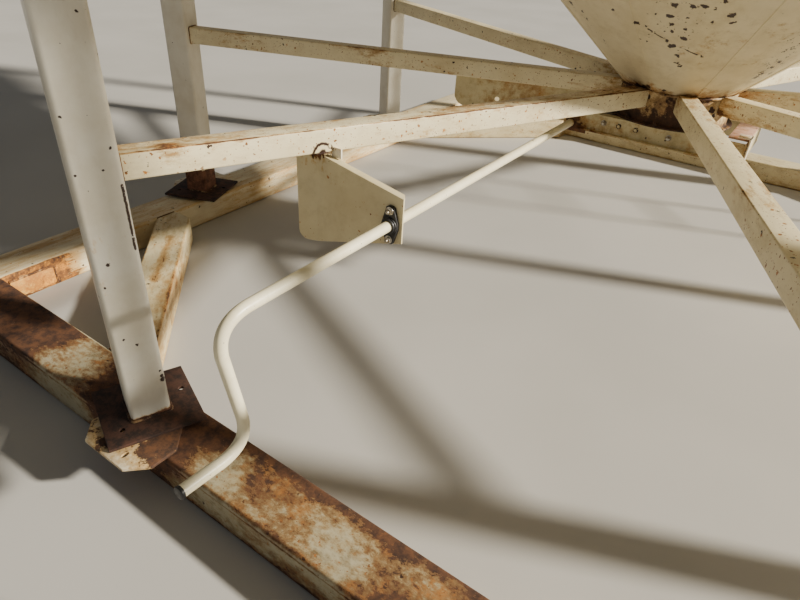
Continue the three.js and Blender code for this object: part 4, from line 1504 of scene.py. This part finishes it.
print("barrel", round(BARREL_TOP - BARREL_LOW, 2), "m high")

# %% [markdown]
# The barrel is rolled from five strakes. Their upright seams are staggered from one strake to the
# next, so that no seam runs through. Twelve radial seams join the roof's sheets.

# %% Seams
STRAKES = 5
STRAKE = (BARREL_TOP - BARREL_LOW) / STRAKES
for k in range(1, STRAKES):
    points = ring_points(BARREL_R + 0.0002, BARREL_LOW + STRAKE * k, 0.06)
    sheets.append(bead(f"strake_seam_{k}", points, 0.003, True, 0.15, k))
for k in range(STRAKES):
    points = between((BARREL_R, 0, BARREL_LOW + 0.004), (BARREL_R, 0, BARREL_LOW + STRAKE - 0.004),
                     0.06)
    model = settle(bead("upright_model", points, 0.0028), spot=(0, 0, STRAKE * k))
    sheets += spread(model, f"upright_seam_{k}", range(4), 12 if k % 2 else 57)
points = between((2.385, 0, ROOF_LOW + 0.007), (0.305, 0, ROOF_LOW + 1.1015), 0.04)
sheets += spread(bead("roof_seam_model", points, 0.003), "roof_seam", range(12))
print("sheets and seams:", len(sheets))

# %% [markdown]
# A filler neck stands on the roof, with a domed lid that has a turned-down edge and a handle. The
# ladder's solid is dressed, as the gate's is.

# %% Neck, lid, handle and ladder
NECK, NECK_R = ROOF_LOW + 1.1043, 0.304
collar = spun("filler_collar", [(r, NECK + z) for r, z in (
    (0.296, -0.030), (0.2997, -0.030), (0.2997, 0.0), (NECK_R, 0.0), (NECK_R, 0.120),
    (0.296, 0.120))])
cover = spun("filler_cover", [(r, NECK + z) for r, z in (
    (0.0, 0.1203), (0.336, 0.1203), (0.336, 0.060), (0.340, 0.060), (0.340, 0.126),
    (0.337, 0.1295), (0.200, 0.158), (0.060, 0.188), (0.0, 0.199))])
handle = bead("lid_handle", [(0.16, y, NECK + z) for y, z in (
    (-0.05, 0.163), (-0.05, 0.190), (-0.04, 0.196), (0.04, 0.196), (0.05, 0.190),
    (0.05, 0.163))], 0.005, rough=0.0)
sheets += [collar, cover]
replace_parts(collar, "filler_neck")
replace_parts(cover, "filler_lid")
ladder = dressed("ladder", "side_ladder", 0.0008)
print("ladder:", len(ladder.data.polygons), "faces")

# %% [markdown]
# The sheet has the legs' paint in a creamier shade, sound all over, with dirt that runs down and a
# little rust by the ring. The ladder is galvanised: dull zinc with a faint mottle.

# %% Shell finishes
wear(rusted_paint(
    "sheet_paint", tone(220, 208, 175), rust=0.02, stain=0.4, chips=0.15, grime=0.3, orange=0.4,
    grain=(1, 1, 0.35), chip_scale=9.0, extra=lambda f: 0.03 * f.axes()[2].fade(3.10, 2.86)),
     "cream_sheet", *sheets)
wear(steel("dull_zinc", tone(164, 166, 164), tone(124, 122, 116), -0.3, 16),
     "galvanised_steel", handle, ladder)
wear(BRACKET_PAINT, "cream_frame", ring)

# %% [markdown]
# ## The stage
# The silo stands on a plain pale floor. The light is a soft studio light: one broad lamp far off to
# the right, so that the right faces of the legs and braces are the bright ones, as in the picture,
# and an even pale surround that fills the shade.

# %% Floor and light
FLOOR_SIZE, SURROUND = 160, 0.16
KEY_POWER, KEY_ANGLE, KEY_COLOUR = 9.5, math.radians(3), (1.0, 0.945, 0.84)
KEY_FROM = Vector((0.841, 0.357, 0.407))
bpy.ops.object.select_all(action="DESELECT")
bpy.ops.mesh.primitive_plane_add(size=FLOOR_SIZE, location=(0, 0, -0.001))
floor = settle(bpy.context.object, "floor")
f = Finish("pale_floor")
pale = f.mix(f.noise(0.8, 3, 0.5).fade(0.3, 0.7), tone(186, 182, 174), tone(178, 174, 166))
floor.data.materials.append(f.done(pale, 0.9))
world = bpy.data.worlds.new("studio")
bpy.context.scene.world = world
world.use_nodes = True
surround = world.node_tree.nodes["Background"].inputs
surround["Color"].default_value = (0.94, 0.97, 1.0, 1)
surround["Strength"].default_value = SURROUND
bpy.ops.object.light_add(type="SUN")
key = bpy.context.object
key.name = "soft_key"
key.data.energy, key.data.angle, key.data.color = KEY_POWER, KEY_ANGLE, KEY_COLOUR
key.rotation_mode = "QUATERNION"
key.rotation_quaternion = KEY_FROM.to_track_quat("Z", "Y")
print("key light of", KEY_POWER, "from", tuple(KEY_FROM))

# %% [markdown]
# The camera has the picture's lens and angle. Pointing it at a target would lose the picture's
# slight roll, so it is rolled, tipped and turned in three steps, each with its own angle.

# %% Camera
YAW, PITCH, ROLL, LENS, SENSOR = -0.581772, 0.578519, -0.063865, 27.403, 36
EYE = Vector((0.576119, -3.004442, 1.608844))
STEPS = ((-YAW, "Z"), (math.pi / 2 - PITCH, "X"), (-ROLL, "Z"))
turned_by, tipped_by, rolled_by = [Matrix.Rotation(angle, 3, axis) for angle, axis in STEPS]
bpy.ops.object.camera_add(location=EYE)
camera = bpy.context.object
camera.name = "viewer"
camera.data.lens, camera.data.sensor_width, camera.data.clip_end = LENS, SENSOR, 200
camera.rotation_mode = "QUATERNION"
camera.rotation_quaternion = (turned_by @ tipped_by @ rolled_by).to_quaternion()
bpy.context.scene.camera = camera
print("camera at", tuple(round(v, 3) for v in EYE))

# %% [markdown]
# The dressed silo must not be bigger than its solids.
